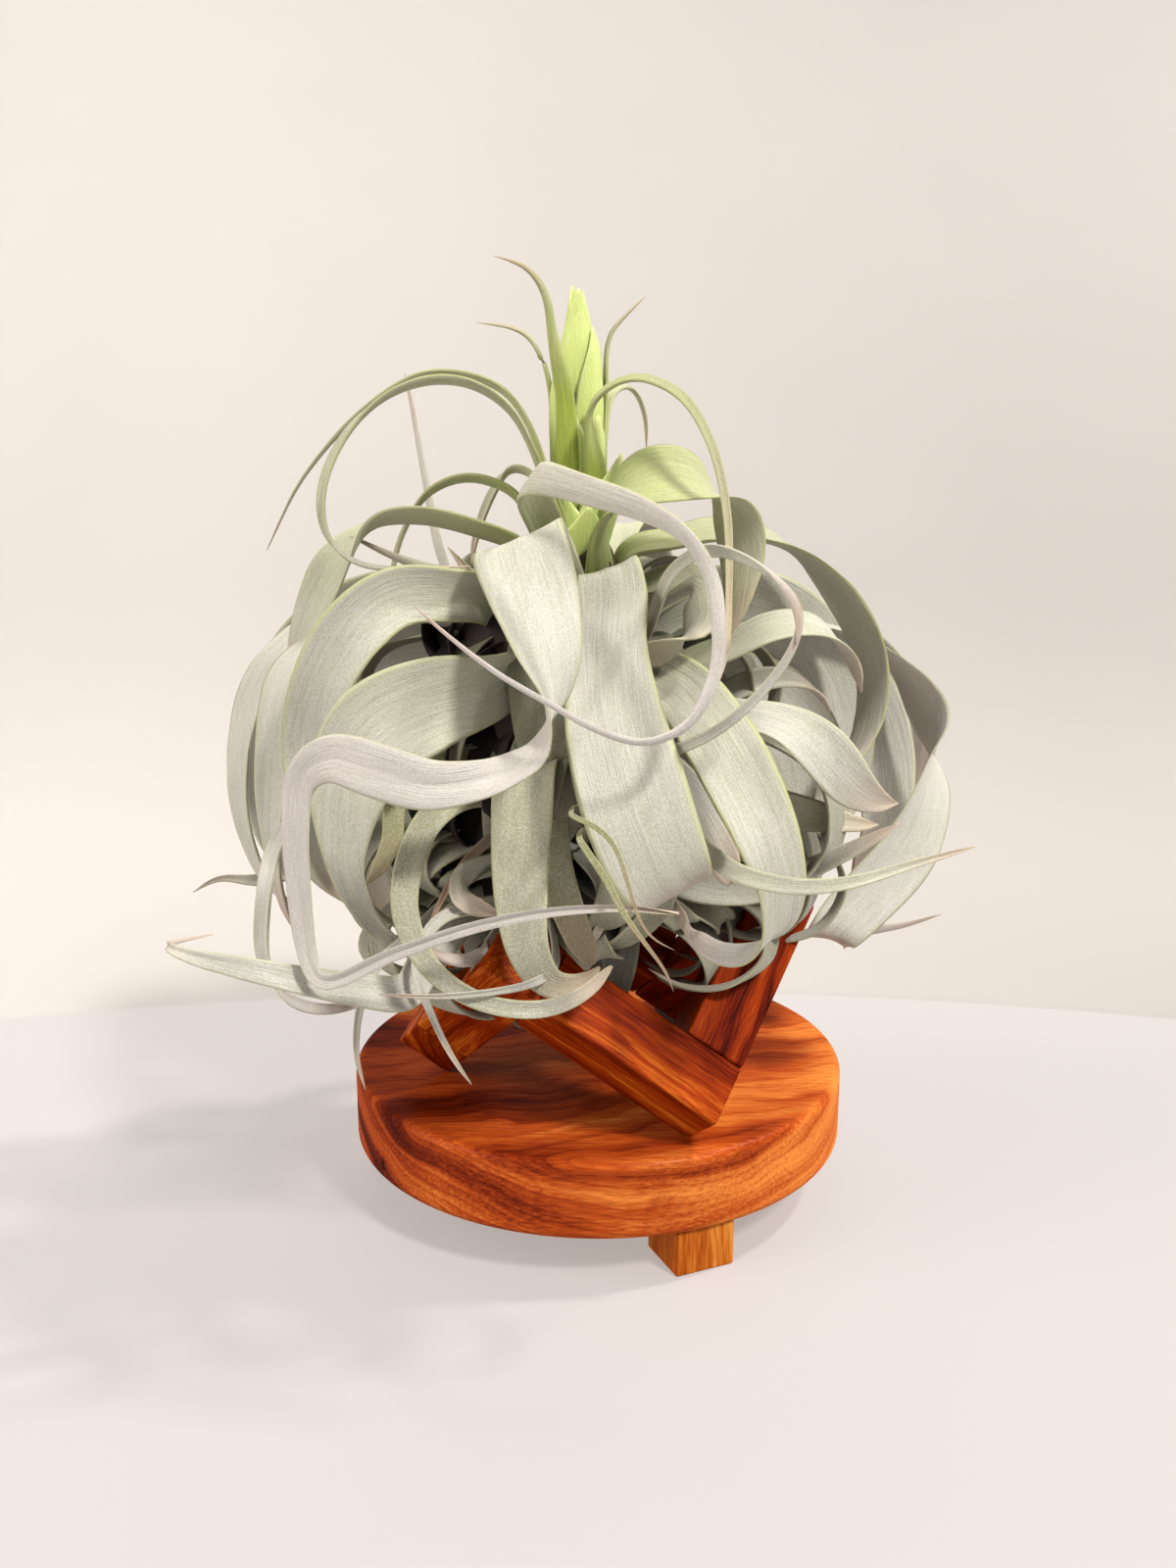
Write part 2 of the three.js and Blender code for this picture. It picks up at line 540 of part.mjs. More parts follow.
  leaf_right_arch: {
    from: [-16, 162, 10.4],
    points: [
      [19, -24, 161, 0, 0.9, 0.4, 12], [35, -34, 168, -0.1, 0.9, 0.4, 14],
      [47, -36, 174, -0.1, 0.9, 0.5, 13.5], [59, -34, 174, -0.2, 0.9, 0.5, 12],
      [68, -30, 166, -0.5, 0.8, 0.2, 8], [73, -26, 155, -0.6, 0.8, 0, 2],
    ],
  },
  leaf_right_small_arch: {
    from: [-16, 145, 9],
    points: [
      [22, -23, 144, 0, 0.9, 0.4, 10.6], [38, -28, 156, -0.1, 0.9, 0.4, 12],
      [50, -28, 159, -0.1, 0.9, 0.5, 10], [59, -26, 156, -0.4, 0.8, 0.3, 7],
      [65, -24, 149, -0.5, 0.8, 0, 2],
    ],
  },
  leaf_right_folded: {
    from: [-40, 134, 13],
    points: [
      [20, -44, 150, 0.2, 0.8, 0.5, 12], [35, -58, 154, 0.3, 0.8, 0.5, 12],
      [47, -66, 153, 0.5, 0.7, 0.5, 13], [56, -70, 147, 0.7, 0.3, 0.7, 15],
      [63, -70, 139, 0.7, 0.1, 0.7, 13.5], [70, -67, 134, 0.5, 0.2, 0.85, 7],
      [77, -62, 132, 0.3, 0.3, 0.9, 1.5],
    ],
  },
  leaf_right_yellow: {
    from: [-34, 114, 10],
    points: [
      [21, -34, 131, -0.1, 0.4, 1, 11], [38, -40, 128, -0.1, 0.4, 1, 11],
      [53, -44, 125, -0.1, 0.4, 1, 11], [63, -44, 123, -0.2, 0.4, 1, 8],
      [71, -42, 121, -0.2, 0.4, 1, 4.4], [77, -38, 120, -0.2, 0.4, 1, 1.4],
    ],
  },
  leaf_right_pale_band: {
    from: [-20, 110, 8],
    points: [
      [25, -22, 97, 0, 0.4, 1, 7], [41, -34, 101, 0.1, 0.4, 1, 7], [55, -47, 109, 0.2, 0.4, 1, 7],
      [65, -51, 115, 0.3, 0.4, 1, 5.5], [75, -52, 121, 0.3, 0.4, 1, 3.5],
      [80, -51, 124, 0.3, 0.4, 1, 1.2],
    ],
  },
  leaf_right_long_thin: {
    from: [-62, 108, 7],
    points: [
      [17, -62, 127, 0.2, 0.4, 1, 6], [27, -76, 123, 0.2, 0.4, 1, 5.6],
      [34, -97, 123, 0.2, 0.4, 1, 5.2], [45, -106, 123, 0, 0.4, 1, 4.6],
      [57, -109, 125, -0.1, 0.4, 1, 3.6], [71, -108, 129, -0.2, 0.4, 1, 2.4],
      [86, -104, 132, -0.2, 0.4, 1, 1],
    ],
  },
  leaf_right_hook: {
    from: [-54, 150, 13],
    points: [
      [13, -40, 162, 1, 0, 0.5, 17], [22, -53, 159, 1, 0, 0.45, 18], [29, -67, 151, 1, 0, 0.4, 19],
      [35, -79, 141, 1, 0, 0.35, 19], [41, -87, 128, 1, 0, 0.25, 16], [44, -88, 116, 1, 0.1, 0.1, 12],
      [43, -85, 105, 0.8, 0.5, 0.2, 9.5], [37, -78, 97, 0.3, 0.8, 0.5, 8],
      [29, -70, 95, -0.1, 0.8, 0.6, 6.5], [23, -62, 99, -0.5, 0.8, 0.4, 5],
      [20, -56, 104, -0.6, 0.8, 0.2, 3],
    ],
  },
  leaf_right_low_band: {
    from: [-46, 101, 9],
    points: [
      [10, -36, 109, 0, 0.4, 1, 9], [21, -45, 106, 0, 0.4, 1, 9.6], [33, -50, 105, 0, 0.4, 1, 9.2],
      [44, -52, 106, -0.1, 0.4, 1, 8], [51, -53, 110, -0.2, 0.4, 1, 6], [56, -53, 114, -0.2, 0.4, 1, 3],
    ],
  },
  leaf_right_shaded: {
    from: [-52, 120, 11],
    points: [
      [10, -38, 138, 1, 0.2, 0.5, 12], [20, -54, 135, 1, 0.3, 0.5, 13], [27, -62, 127, 1, 0.4, 0.4, 12],
      [32, -65, 117, 1, 0.4, 0.3, 10], [34, -62, 110, 1, 0.4, 0.2, 5],
    ],
  },
  leaf_right_rising_tip: {
    from: [-64, 138, 8],
    points: [
      [6, -50, 147, -0.2, 0.3, 1, 6], [18, -64, 147, -0.2, -0.2, 1, 5],
      [20, -77, 150, -0.3, -0.3, 1, 5], [29, -90, 158, -0.5, -0.3, 0.9, 4.8],
      [39, -91, 168, -0.8, -0.3, 0.6, 4.4], [45, -91, 178, -1, -0.3, 0.2, 3.6],
      [46, -90, 186, -1, -0.3, 0, 2.4], [44, -89, 190, -0.9, -0.3, -0.2, 1],
    ],
  },
};

// ---------- leaves behind, which arch out, hang and curl in at their tips

// crest, tip and height are heights above the table, turn is how far the tip turns sideways in degrees
const backLeaves = {
  leaf_back_1: { direction: 54, height: 142, reach: 62, crest: 158, tip: 84, width: 20, turn: -12 },
  leaf_back_2: { direction: 76, height: 172, reach: 64, crest: 198, tip: 134, width: 20, turn: -14 },
  leaf_back_3: { direction: 94, height: 138, reach: 80, crest: 158, tip: 78, width: 22, turn: -8 },
  leaf_back_4: { direction: 114, height: 164, reach: 74, crest: 188, tip: 112, width: 21, turn: 8 },
  leaf_back_5: { direction: 134, height: 146, reach: 78, crest: 170, tip: 106, width: 20, turn: -12 },
};
const baseWidthShare = 0.6; // of the blade's greatest width

function archPoints({ direction, reach, crest, tip, width, turn }) {
  const shape = [ // share of the reach, share of the way from tip height to crest, share of width and turn
    [0.32, 0.85, 0.9, 0], [0.62, 1, 1, 0.1], [0.92, 0.8, 1, 0.3], [1, 0.42, 0.85, 0.5],
    [0.9, 0.1, 0.6, 0.75], [0.66, 0, 0.3, 0.9], [0.45, 0.12, 0.1, 1],
  ];
  return shape.map(([out, up, wide, turned]) => {
    const angle = toRadians(direction + turn * turned);
    const radius = stemRadius + out * reach;
    return [
      stemCentre.x + radius * Math.cos(angle), stemCentre.y + radius * Math.sin(angle),
      THREE.MathUtils.lerp(tip, crest, up), -Math.sin(angle), Math.cos(angle), 0, width * wide,
    ];
  });
}

function addBackLeaves() {
  for (const [name, leaf] of Object.entries(backLeaves)) {
    const rows = leafRows([leaf.direction, leaf.height, leaf.width * baseWidthShare], archPoints(leaf));
    addPiece(name, bladeGeometry(rows), materials.leaf);
  }
}

addDisc();
addFeet();
addRing();
addStem();
addSpike();
addLeaves(spikeLeaves, materials.youngLeaf);
addLeaves(plantLeaves, materials.leaf);
addBackLeaves();

// the origin is the middle of the object's box, on the surface it stands on
const box = new THREE.Box3().setFromObject(airPlant, true);
airPlant.position.set(-(box.min.x + box.max.x) / 2, -(box.min.y + box.max.y) / 2, 0);

export default airPlant;
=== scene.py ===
import json
import math
import random

import bmesh
import bpy
import numpy as np
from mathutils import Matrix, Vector


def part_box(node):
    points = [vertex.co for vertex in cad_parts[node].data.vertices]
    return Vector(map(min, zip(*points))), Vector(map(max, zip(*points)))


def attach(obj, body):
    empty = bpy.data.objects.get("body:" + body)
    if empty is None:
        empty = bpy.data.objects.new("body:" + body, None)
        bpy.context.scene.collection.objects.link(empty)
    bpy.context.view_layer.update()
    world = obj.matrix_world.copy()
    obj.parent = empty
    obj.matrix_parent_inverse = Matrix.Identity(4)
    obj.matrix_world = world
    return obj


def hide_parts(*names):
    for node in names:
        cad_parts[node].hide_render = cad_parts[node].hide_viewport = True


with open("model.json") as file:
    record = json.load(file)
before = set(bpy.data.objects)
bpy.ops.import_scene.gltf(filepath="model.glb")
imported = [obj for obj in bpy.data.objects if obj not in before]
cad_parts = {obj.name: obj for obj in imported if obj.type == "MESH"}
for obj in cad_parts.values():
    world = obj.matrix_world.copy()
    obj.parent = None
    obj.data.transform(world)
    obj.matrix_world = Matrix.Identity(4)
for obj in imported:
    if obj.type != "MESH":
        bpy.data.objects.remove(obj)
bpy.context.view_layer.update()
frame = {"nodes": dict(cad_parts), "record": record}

# An air plant with a young flower spike in a zig-zag ring of wooden bars on a round wooden disc.
# Lengths in the dictionaries are millimetres from the middle of the disc's underside level, +Z up.
mm = 0.001
lowDisc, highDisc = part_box("stand_disc")
standCentre = Vector(((lowDisc.x + highDisc.x) / 2, (lowDisc.y + highDisc.y) / 2, 0))


def toRow(points):  # millimetres round the stand's centre -> metres in the frame
    return np.asarray(points, float) * mm + np.array(standCentre)


def fromHex(code):  # sRGB hex -> linear RGBA
    channels = [int(code[i:i + 2], 16) / 255 for i in (1, 3, 5)]
    return tuple(c / 12.92 if c <= 0.04045 else ((c + 0.055) / 1.055) ** 2.4 for c in channels) + (1,)


def addNode(tree, kind, inputs=None, **settings):  # a node with its settings and links
    node = tree.nodes.new(kind)
    for name, value in settings.items():
        setattr(node, name, value)
    for key, value in (inputs or {}).items():
        if isinstance(key, int):
            socket = node.inputs[key]
        else:
            socket = next(s for s in node.inputs if s.enabled and s.name == key)
        if isinstance(value, bpy.types.Node):
            value = next(s for s in value.outputs if s.enabled)
        if isinstance(value, bpy.types.NodeSocket):
            tree.links.new(value, socket)
        else:
            socket.default_value = value
    return node


def emptyMaterial(name):  # a material whose node tree is still to be filled
    material = bpy.data.materials.new(name)
    material.use_nodes = True
    material.node_tree.nodes.clear()
    return material


def toned(tree, colour, tone):  # a colour made darker or lighter by a tone
    grey = addNode(tree, "ShaderNodeCombineColor", {0: tone, 1: tone, 2: tone})
    return addNode(tree, "ShaderNodeMix", {0: 1.0, 6: colour, 7: grey}, data_type="RGBA",
                   blend_type="MULTIPLY")


def placed(name, data):  # a new object in the scene
    thing = bpy.data.objects.new(name, data)
    bpy.context.scene.collection.objects.link(thing)
    return thing


def smoothStep(low, high, value):  # 0 below, 1 above and an even S between them
    share = np.clip((np.asarray(value, float) - low) / (high - low), 0, 1)
    return share * share * (3 - 2 * share)


stem = {
    "centre": (-6, -14),
    "radius": 9,
    "top": 188,
    "spikeHeights": [188, 200, 216, 232, 246, 257, 264, 266],
    "spikeRadii": [6.5, 7.4, 7.8, 7.6, 6, 3.4, 1.4, 0.2],
}

leafRows = {  # name: (direction, height and width of the base, its carrier), rows of place, across and width
    "spike_leaf_arch_right": ((-50, 214, 6.5, "spike"), [
        (-2, -28, 232, 0, 1, 0.2, 7.6), (8, -32, 239, 0.2, 1, 0.3, 7), (20, -38, 235, 0.5, 1, 0.5, 6),
        (28, -44, 223, 0.9, 0.6, 0.3, 5), (32, -50, 206, 1, 0.4, 0, 4.5), (32, -62, 187, 1, 0.3, 0, 3.5),
        (30, -78, 172, 1, 0, 0, 2.5), (26, -85, 163, 1, 0, -0.4, 1.2),
    ]),
    "spike_leaf_tall": ((-115, 234, 4, "spike"), [
        (-12, -25, 250, 0.6, 0.8, 0, 4), (-14, -28, 261, 0.6, 0.8, 0, 3.4),
        (-19, -32, 267, 0.3, 0.8, 0.4, 2.4), (-27, -36, 269, 0, 1, 0.4, 1),
    ]),
    "spike_leaf_left": ((175, 238, 3.5, "spike"), [
        (-18, -15, 250, 0, 1, 0.3, 3), (-23, -17, 253, 0, 1, 0.3, 2.4), (-33, -20, 254, 0, 1, 0.3, 1),
    ]),
    "spike_leaf_right": ((10, 236, 4, "spike"), [
        (3, -13, 251, 0, 1, 0.3, 3.6), (8, -11, 257, 0.2, 1, 0.3, 2.4), (13, -8, 262, 0.2, 1, 0.2, 1),
    ]),
    "spike_leaf_back_right": ((40, 222, 5, "spike"), [
        (4, 0, 236, -0.3, 1, 0.2, 4.4), (9, 6, 238, -0.2, 1, 0.3, 3.8), (13, 10, 231, -0.5, 1, 0, 2.6),
        (14, 12, 220, -0.5, 1, 0, 1),
    ]),
    "spike_leaf_upper_left": ((196, 208, 7, "spike"), [
        (-19, -17, 226, 0, -1, 0.3, 6), (-26, -19, 236, 0, -1, 0.3, 5.6), (-36, -20, 240, 0, -1, 0.3, 5.2),
        (-48, -20, 240, 0, -1, 0.3, 4.8), (-64, -18, 231, 0, -1, 0.2, 3.8), (-82, -14, 213, 0, -1, 0, 2.4),
        (-94, -10, 193, 0, -1, 0, 1),
    ]),
    "spike_leaf_left_hoop": ((222, 200, 8, "spike"), [
        (-18, -28, 220, 0, -1, 0.3, 7), (-24, -34, 231, 0, -1, 0.3, 6.6), (-33, -38, 237, 0, -1, 0.4, 6.2),
        (-43, -40, 238, 0, -1, 0.4, 5.8), (-55, -40, 234, 0.2, -1, 0.3, 5.6),
        (-67, -38, 223, 0.6, -0.8, 0, 5.4), (-72, -42, 209, 0.6, -0.8, 0, 5),
        (-70, -44, 198, 0.6, -0.8, -0.2, 4), (-62, -44, 192, 0, -1, -0.5, 3),
        (-34, -40, 191, 0, -1, -0.3, 1.2),
    ]),
    "leaf_crown_left": ((178, 190, 9, "stem"), [
        (-19, -16, 201, 0, -1, 0.4, 8), (-24, -18, 209, 0, -1, 0.4, 7), (-36, -17, 213, 0, -1, 0.4, 6.4),
        (-47, -14, 209, 0, -1, 0.3, 6), (-54, -11, 200, 0.2, -1, 0, 5), (-58, -9, 189, 0.3, -1, 0, 4),
        (-59, -8, 177, 0.3, -1, 0, 2),
    ]),
    "leaf_crown_left_low": ((205, 178, 12, "stem"), [
        (-22, -26, 194, 0, -1, 0.5, 12), (-35, -30, 200, 0, -1, 0.5, 12), (-48, -32, 203, 0, -1, 0.5, 12),
        (-60, -30, 201, 0.3, -1, 0.3, 13), (-70, -26, 192, 0.7, -0.7, 0, 14),
        (-79, -18, 180, 0.7, -0.7, 0, 15), (-85, -13, 166, 0.6, -0.8, 0, 13),
        (-88, -11, 149, 0.6, -0.8, 0, 8),
    ]),
    "leaf_back_upright": ((140, 172, 9, "stem"), [
        (-29, 4, 184, 0, -1, 0, 8), (-42, 18, 178, 0, -1, 0, 7), (-49, 30, 188, 0.6, -0.8, 0, 5),
        (-54, 36, 211, 0.7, -0.7, 0, 3.4), (-58, 40, 234, 0.7, -0.7, 0, 2.2), (-60, 42, 244, 0.7, -0.7, 0, 1),
    ]),
    "leaf_crown_right": ((-35, 184, 13, "stem"), [
        (1, -28, 198, 0.2, 1, 0, 14), (4, -31, 207, 0.1, 0.9, 0.5, 17), (13, -33, 213, 0, 0.7, 0.75, 19),
        (24, -32, 213, -0.2, 0.75, 0.7, 18), (34, -29, 206, -0.7, 0.7, 0.3, 17),
        (38, -28, 194, -0.8, 0.6, 0, 14), (37, -31, 182, -0.7, 0.7, 0, 9), (34, -34, 171, -0.5, 0.8, 0, 3),
    ]),
    "leaf_right_great_arch": ((-8, 176, 15, "stem"), [
        (8, -16, 191, 0, 1, 0.2, 18), (22, -12, 195, 0, 1, 0.2, 21), (37, -6, 197, 0, 1, 0.2, 24),
        (54, 0, 193, -0.1, 1, 0.1, 25), (69, 5, 179, -0.4, 0.9, 0, 23), (80, 8, 161, -0.45, 0.88, 0, 19),
        (81, 6, 143, -0.45, 0.88, 0, 14), (76, 0, 132, -0.5, 0.85, 0, 8), (67, -8, 126, -0.3, 0.9, 0, 3),
    ]),
    "leaf_front_loop": ((-122, 185, 10, "stem"), [
        (-14, -31, 200, -0.9, 0, -0.3, 10), (-18, -50, 214, -0.54, 0, -0.84, 11.5),
        (-3, -64, 211, -0.1, 0.1, -1, 10.5), (10, -74, 207, -0.3, 0.3, -0.9, 8.6),
        (20, -82, 201, -0.5, 0.8, -0.4, 6.2), (26, -87, 191, -1, 0.3, 0, 5.2),
        (27, -91, 182, -1, 0.3, 0, 5.2), (27, -93, 174, -1, 0.3, 0.1, 5),
        (24, -96, 165, -0.9, -0.1, 0.4, 4.4), (20, -97, 159, -0.5, -0.3, 0.9, 3.8),
        (10, -98, 155, 0, -0.5, 1, 3.2), (-1, -98, 158, 0.2, -0.4, 1, 3),
        (-12, -97, 164, 0.3, -0.4, 0.9, 2.7), (-24, -96, 171, 0.4, -0.3, 0.9, 2.3),
        (-36, -94, 180, 0.5, -0.3, 0.8, 1.7), (-43, -92, 186, 0.5, -0.3, 0.8, 1),
    ]),
    "leaf_front_long": ((-58, 168, 13, "stem"), [
        (1, -36, 185, 1, 0, 0.3, 15), (2, -44, 191, 1, 0, 0.4, 17), (3, -51, 183, 1, 0, 0.3, 20.4),
        (2, -58, 174, 1, 0, 0.25, 19.4), (3, -67, 158, 1, 0, 0.2, 25), (7, -82, 142, 1, 0, 0.2, 28),
        (12, -88, 128, 1, 0, 0.25, 27), (17, -88, 118, 1, 0, 0.6, 24), (21, -79, 114, 1, 0, 0.6, 16),
        (23, -71, 115, 1, 0, 0.5, 8),
    ]),
    "leaf_front_twist": ((-106, 174, 13, "stem"), [
        (-15, -37, 191, 1, 0, 0.25, 20), (-21, -49, 199, 1, 0, 0.46, 26), (-17, -61, 186, 1, 0.2, 0.12, 24.5),
        (-13, -73, 172, 0.85, 0.5, 0, 19), (-12, -81, 159, 0.1, 1, 0.1, 13),
        (-15, -84, 150, -0.3, 0.85, 0.4, 11), (-23, -89, 146, 0.1, 0.75, 0.65, 8.6),
        (-31, -94, 145, 0.1, 0.4, 0.9, 10), (-41, -97, 145, 0.1, 0.2, 1, 13),
        (-53, -98, 149, 0.2, 0.2, 1, 13.6), (-63, -95, 151, -0.1, 0.3, 1, 12),
        (-71, -90, 145, -0.8, 0.3, 0.4, 8.6), (-73, -89, 131, -1, 0.3, 0, 7.5),
        (-73, -88, 116, -1, 0.3, 0, 7), (-72, -88, 102, -1, 0.2, 0, 6), (-69, -90, 94, -0.6, 0.2, -0.8, 4.4),
        (-50, -95, 103, 0, 0.2, -1, 4), (-31, -99, 111, 0, 0.2, -1, 3.6), (-12, -102, 116, 0, 0.2, -1, 3),
        (6, -105, 118, 0, 0.2, -1, 2.2), (18, -106, 117, 0, 0.2, -1, 1),
    ]),
    "leaf_left_great_arch": ((208, 160, 12, "stem"), [
        (-21, -22, 173, 0, 0.8, -0.6, 12), (-30, -32, 181, 0, 0.4, -1, 14), (-39, -44, 184, 0, 0.2, -1, 15),
        (-53, -52, 184, 0.3, 0, -1, 17), (-64, -58, 175, 0.75, 0, -0.65, 18), (-72, -60, 160, 1, 0, -0.2, 16),
        (-76, -58, 144, 1, 0, 0, 13), (-75, -58, 128, 1, 0.2, 0, 10), (-73, -54, 112, 1, 0.3, 0, 7),
        (-68, -48, 100, 1, 0.3, 0, 3),
    ]),
    "leaf_left_broad": ((225, 140, 14, "stem"), [
        (-19, -36, 161, 0, 0.3, -1, 15), (-32, -48, 159, 0.1, 0.1, -1, 20), (-45, -59, 157, 0.2, 0, -1, 26),
        (-57, -67, 151, 0.6, 0, -0.8, 27), (-63, -70, 139, 0.95, 0, -0.2, 22),
        (-65, -70, 127, 1, 0.1, 0, 14.5), (-65, -69, 116, 1, 0.2, 0.1, 8.5),
        (-62, -66, 105, 0.8, 0.3, 0.5, 6.2), (-56, -58, 93, 0.5, 0.4, 0.8, 5),
        (-46, -50, 85, 0.2, 0.5, 0.9, 3),
    ]),
    "leaf_lower_loop": ((229, 115, 9, "stem"), [
        (-21, -34, 126, 0, 0.3, -1, 9), (-35, -56, 133, 0.2, 0.2, -1, 8),
        (-44, -72, 129, 0.8, 0.2, -0.5, 7.5), (-48, -80, 119, 1, 0.2, 0, 7.5),
        (-48, -85, 109, 1, 0.1, 0.2, 7), (-42, -88, 97, 0.7, 0, 0.7, 6), (-30, -88, 88, 0.2, 0.2, 1, 5),
        (-15, -86, 85, 0, 0.3, 1, 5), (-4, -80, 87, -0.5, 0.3, 0.8, 4.4), (3, -74, 92, -0.7, 0.3, 0.6, 3),
    ]),
    "leaf_front_hanging": ((-112, 128, 12, "stem"), [
        (-15, -44, 137, 1, 0, 0.2, 15), (-19, -56, 138, 1, 0, 0.2, 17), (-20, -68, 126, 1, 0, 0.05, 16),
        (-20, -76, 111, 1, 0, 0, 14), (-18, -80, 98, 1, 0, 0.2, 11), (-13, -78, 89, 0.8, 0.2, 0.6, 8),
        (-5, -74, 87, 0.2, 0.6, 0.8, 6), (0, -72, 91, -0.4, 0.6, 0.6, 3),
    ]),
    "leaf_front_second": ((-84, 119, 8, "stem"), [
        (-11, -40, 129, 1, 0, 0.1, 11), (-14, -50, 131, 1, 0, 0.1, 12), (-13, -60, 118, 1, 0, 0, 11),
        (-9, -65, 106, 1, 0, 0, 9), (-5, -69, 97, 1, 0, 0.3, 8), (-2, -71, 91, 1, 0.1, 0.3, 6),
    ]),
    "leaf_left_outer": ((164, 160, 11.6, "stem"), [
        (-29, 0, 173, 0, -1, 0.2, 16), (-56, 8, 179, 0, -1, 0.3, 18), (-79, 10, 174, 0.3, -1, 0.2, 19),
        (-99, 9, 157, 0.6, -0.8, 0, 18), (-107, 6, 137, 0.6, -0.8, 0, 16), (-108, 2, 116, 0.6, -0.8, 0, 13),
        (-102, -4, 98, 0.6, -0.8, 0, 9), (-91, -12, 88, 0.5, -0.8, 0, 4),
    ]),
    "leaf_left_second": ((188, 150, 12, "stem"), [
        (-31, -14, 167, 0, -1, 0.2, 14), (-55, -20, 175, 0, -1, 0.3, 16), (-73, -31, 172, 0.4, -0.9, 0.2, 18),
        (-84, -36, 160, 0.75, -0.65, 0, 18), (-88, -37, 141, 0.8, -0.6, 0, 16),
        (-90, -38, 122, 0.75, -0.65, 0, 12), (-89, -40, 106, 0.6, -0.8, 0, 7),
        (-85, -44, 93, 0.6, -0.8, 0, 3),
    ]),
    "leaf_left_ring": ((204, 112, 10, "stem"), [
        (-31, -24, 131, 0, -1, 0.3, 9), (-57, -34, 131, 0.2, -1, 0.3, 8.5), (-77, -42, 129, 0.4, -1, 0.2, 8),
        (-86, -53, 118, 0.7, -0.7, 0, 7), (-88, -62, 104, 0.8, -0.6, 0, 6), (-88, -64, 89, 0.8, -0.6, 0, 5.5),
        (-83, -64, 80, 0.4, -0.8, -0.5, 4.6), (-74, -58, 74, 0, -0.8, -0.6, 3.8),
        (-61, -50, 74, -0.2, -0.8, -0.5, 2.4),
    ]),
    "leaf_left_pointing": ((224, 106, 10, "stem"), [
        (-25, -36, 101, 0, -0.6, -1, 10), (-38, -54, 98, 0.2, -0.4, -1, 11),
        (-46, -67, 90, 0.5, -0.3, -0.9, 10.5), (-50, -75, 85, 0.3, -0.4, -1, 10),
        (-60, -81, 88, 0, -0.4, -1, 9), (-76, -86, 93, 0, -0.4, -1, 7), (-89, -91, 98, 0, -0.4, -1, 6),
        (-100, -94, 102, 0, -0.4, -1, 4), (-106, -92, 104, 0.3, -0.8, -0.6, 2),
        (-103, -88, 104, 0, -1, -0.3, 1.6), (-96, -84, 104, 0, -1, -0.3, 1),
    ]),
    "leaf_back_left_low": ((150, 118, 12, "stem"), [
        (-34, 16, 110, 0, -1, 0.2, 13), (-66, 28, 96, 0, -1, 0.2, 12), (-93, 30, 87, 0, -1, 0.2, 9),
        (-110, 24, 85, 0, -0.6, -0.8, 4.5), (-121, 20, 87, 0, -0.6, -0.8, 2),
        (-129, 18, 83, 0, -0.6, -0.8, 1),
    ]),
    "leaf_small_yellow": ((206, 126, 8, "stem"), [
        (-31, -28, 138, 0, 0.3, -1, 7), (-47, -44, 137, 0.3, 0.3, -1, 6.6),
        (-54, -55, 131, 1, 0.3, -0.2, 6.2), (-54, -61, 122, 1, 0.2, 0, 6), (-57, -62, 116, 0.8, 0, 0.5, 5),
        (-62, -60, 109, 0.6, 0, 0.7, 3),
    ]),
    "leaf_hanging_tip": ((252, 93, 6, "stem"), [
        (-15, -38, 97, 0.2, 0.3, -1, 6), (-27, -54, 102, 0.7, 0.2, -0.7, 6), (-42, -69, 102, 1, 0, 0, 4.2),
        (-47, -77, 93, 1, 0, 0.3, 2.8), (-43, -79, 81, 1, 0, 0.4, 2.4), (-38, -80, 70, 1, 0, 0.5, 1.8),
        (-33, -80, 62, 1, 0, 0.5, 1),
    ]),
    "leaf_yellow_strand": ((-70, 112, 6, "stem"), [
        (-5, -44, 126, 1, 0, 0.3, 5), (-7, -81, 135, 1, -0.2, 0.5, 4), (-6, -97, 137, 1, -0.2, 0.6, 4),
        (-2, -99, 136, 1, -0.2, 0.6, 4), (3, -102, 132, 1, -0.2, 0.6, 3.8), (6, -105, 124, 1, -0.1, 0.5, 3.2),
        (9, -108, 115, 1, 0, 0.5, 2.2), (12, -108, 111, 0.7, 0, 0.8, 1.6), (17, -107, 108, 0.4, 0, 1, 1),
    ]),
    "leaf_yellow_hanging": ((-76, 98, 6, "stem"), [
        (-4, -60, 124, 1, 0, 0.3, 5.2), (-5, -91, 130, 1, -0.2, 0.5, 4.2), (-3, -102, 130, 1, -0.2, 0.5, 4.6),
        (1, -106, 125, 1, -0.2, 0.5, 4.6), (5, -110, 118, 1, 0, 0.6, 4), (10, -111, 111, 1, 0, 0.7, 2.8),
        (15, -108, 103, 1, 0, 0.4, 1.9), (17, -105, 97, 1, 0, 0.2, 1),
    ]),
    "leaf_inner_curl": ((258, 112, 8, "stem"), [
        (-18, -40, 113, 0, 0.3, -1, 8), (-29, -52, 113, 0, 0.3, -1, 7.6), (-37, -60, 112, 0.3, 0.5, -0.8, 7),
        (-37, -64, 107, 0.8, 0.4, 0.2, 6.5), (-32, -66, 105, 0.2, 0.4, 0.9, 6), (-26, -68, 104, 0, 0.4, 1, 4),
    ]),
    "leaf_right_tucked": ((-8, 170, 11, "stem"), [
        (11, -18, 182, 0.1, 0.9, 0.4, 12), (20, -28, 186, 0.1, 0.9, 0.4, 14),
        (26, -40, 183, -0.5, 0.8, 0.2, 13), (25, -46, 175, -0.8, 0.5, -0.3, 12),
        (16, -48, 170, -0.3, 0.5, -0.8, 10), (7, -46, 168, 0, 0.5, -0.9, 6),
    ]),
    "leaf_right_back_tip": ((40, 160, 13, "stem"), [
        (24, 18, 176, 0, 1, 0.2, 18), (56, 38, 177, 0, 1, 0.2, 20), (84, 50, 164, -0.3, 1, 0.1, 20),
        (101, 52, 144, -0.5, 0.85, 0, 17), (108, 48, 125, -0.5, 0.85, 0, 12),
        (104, 42, 111, -0.5, 0.85, 0, 3),
    ]),
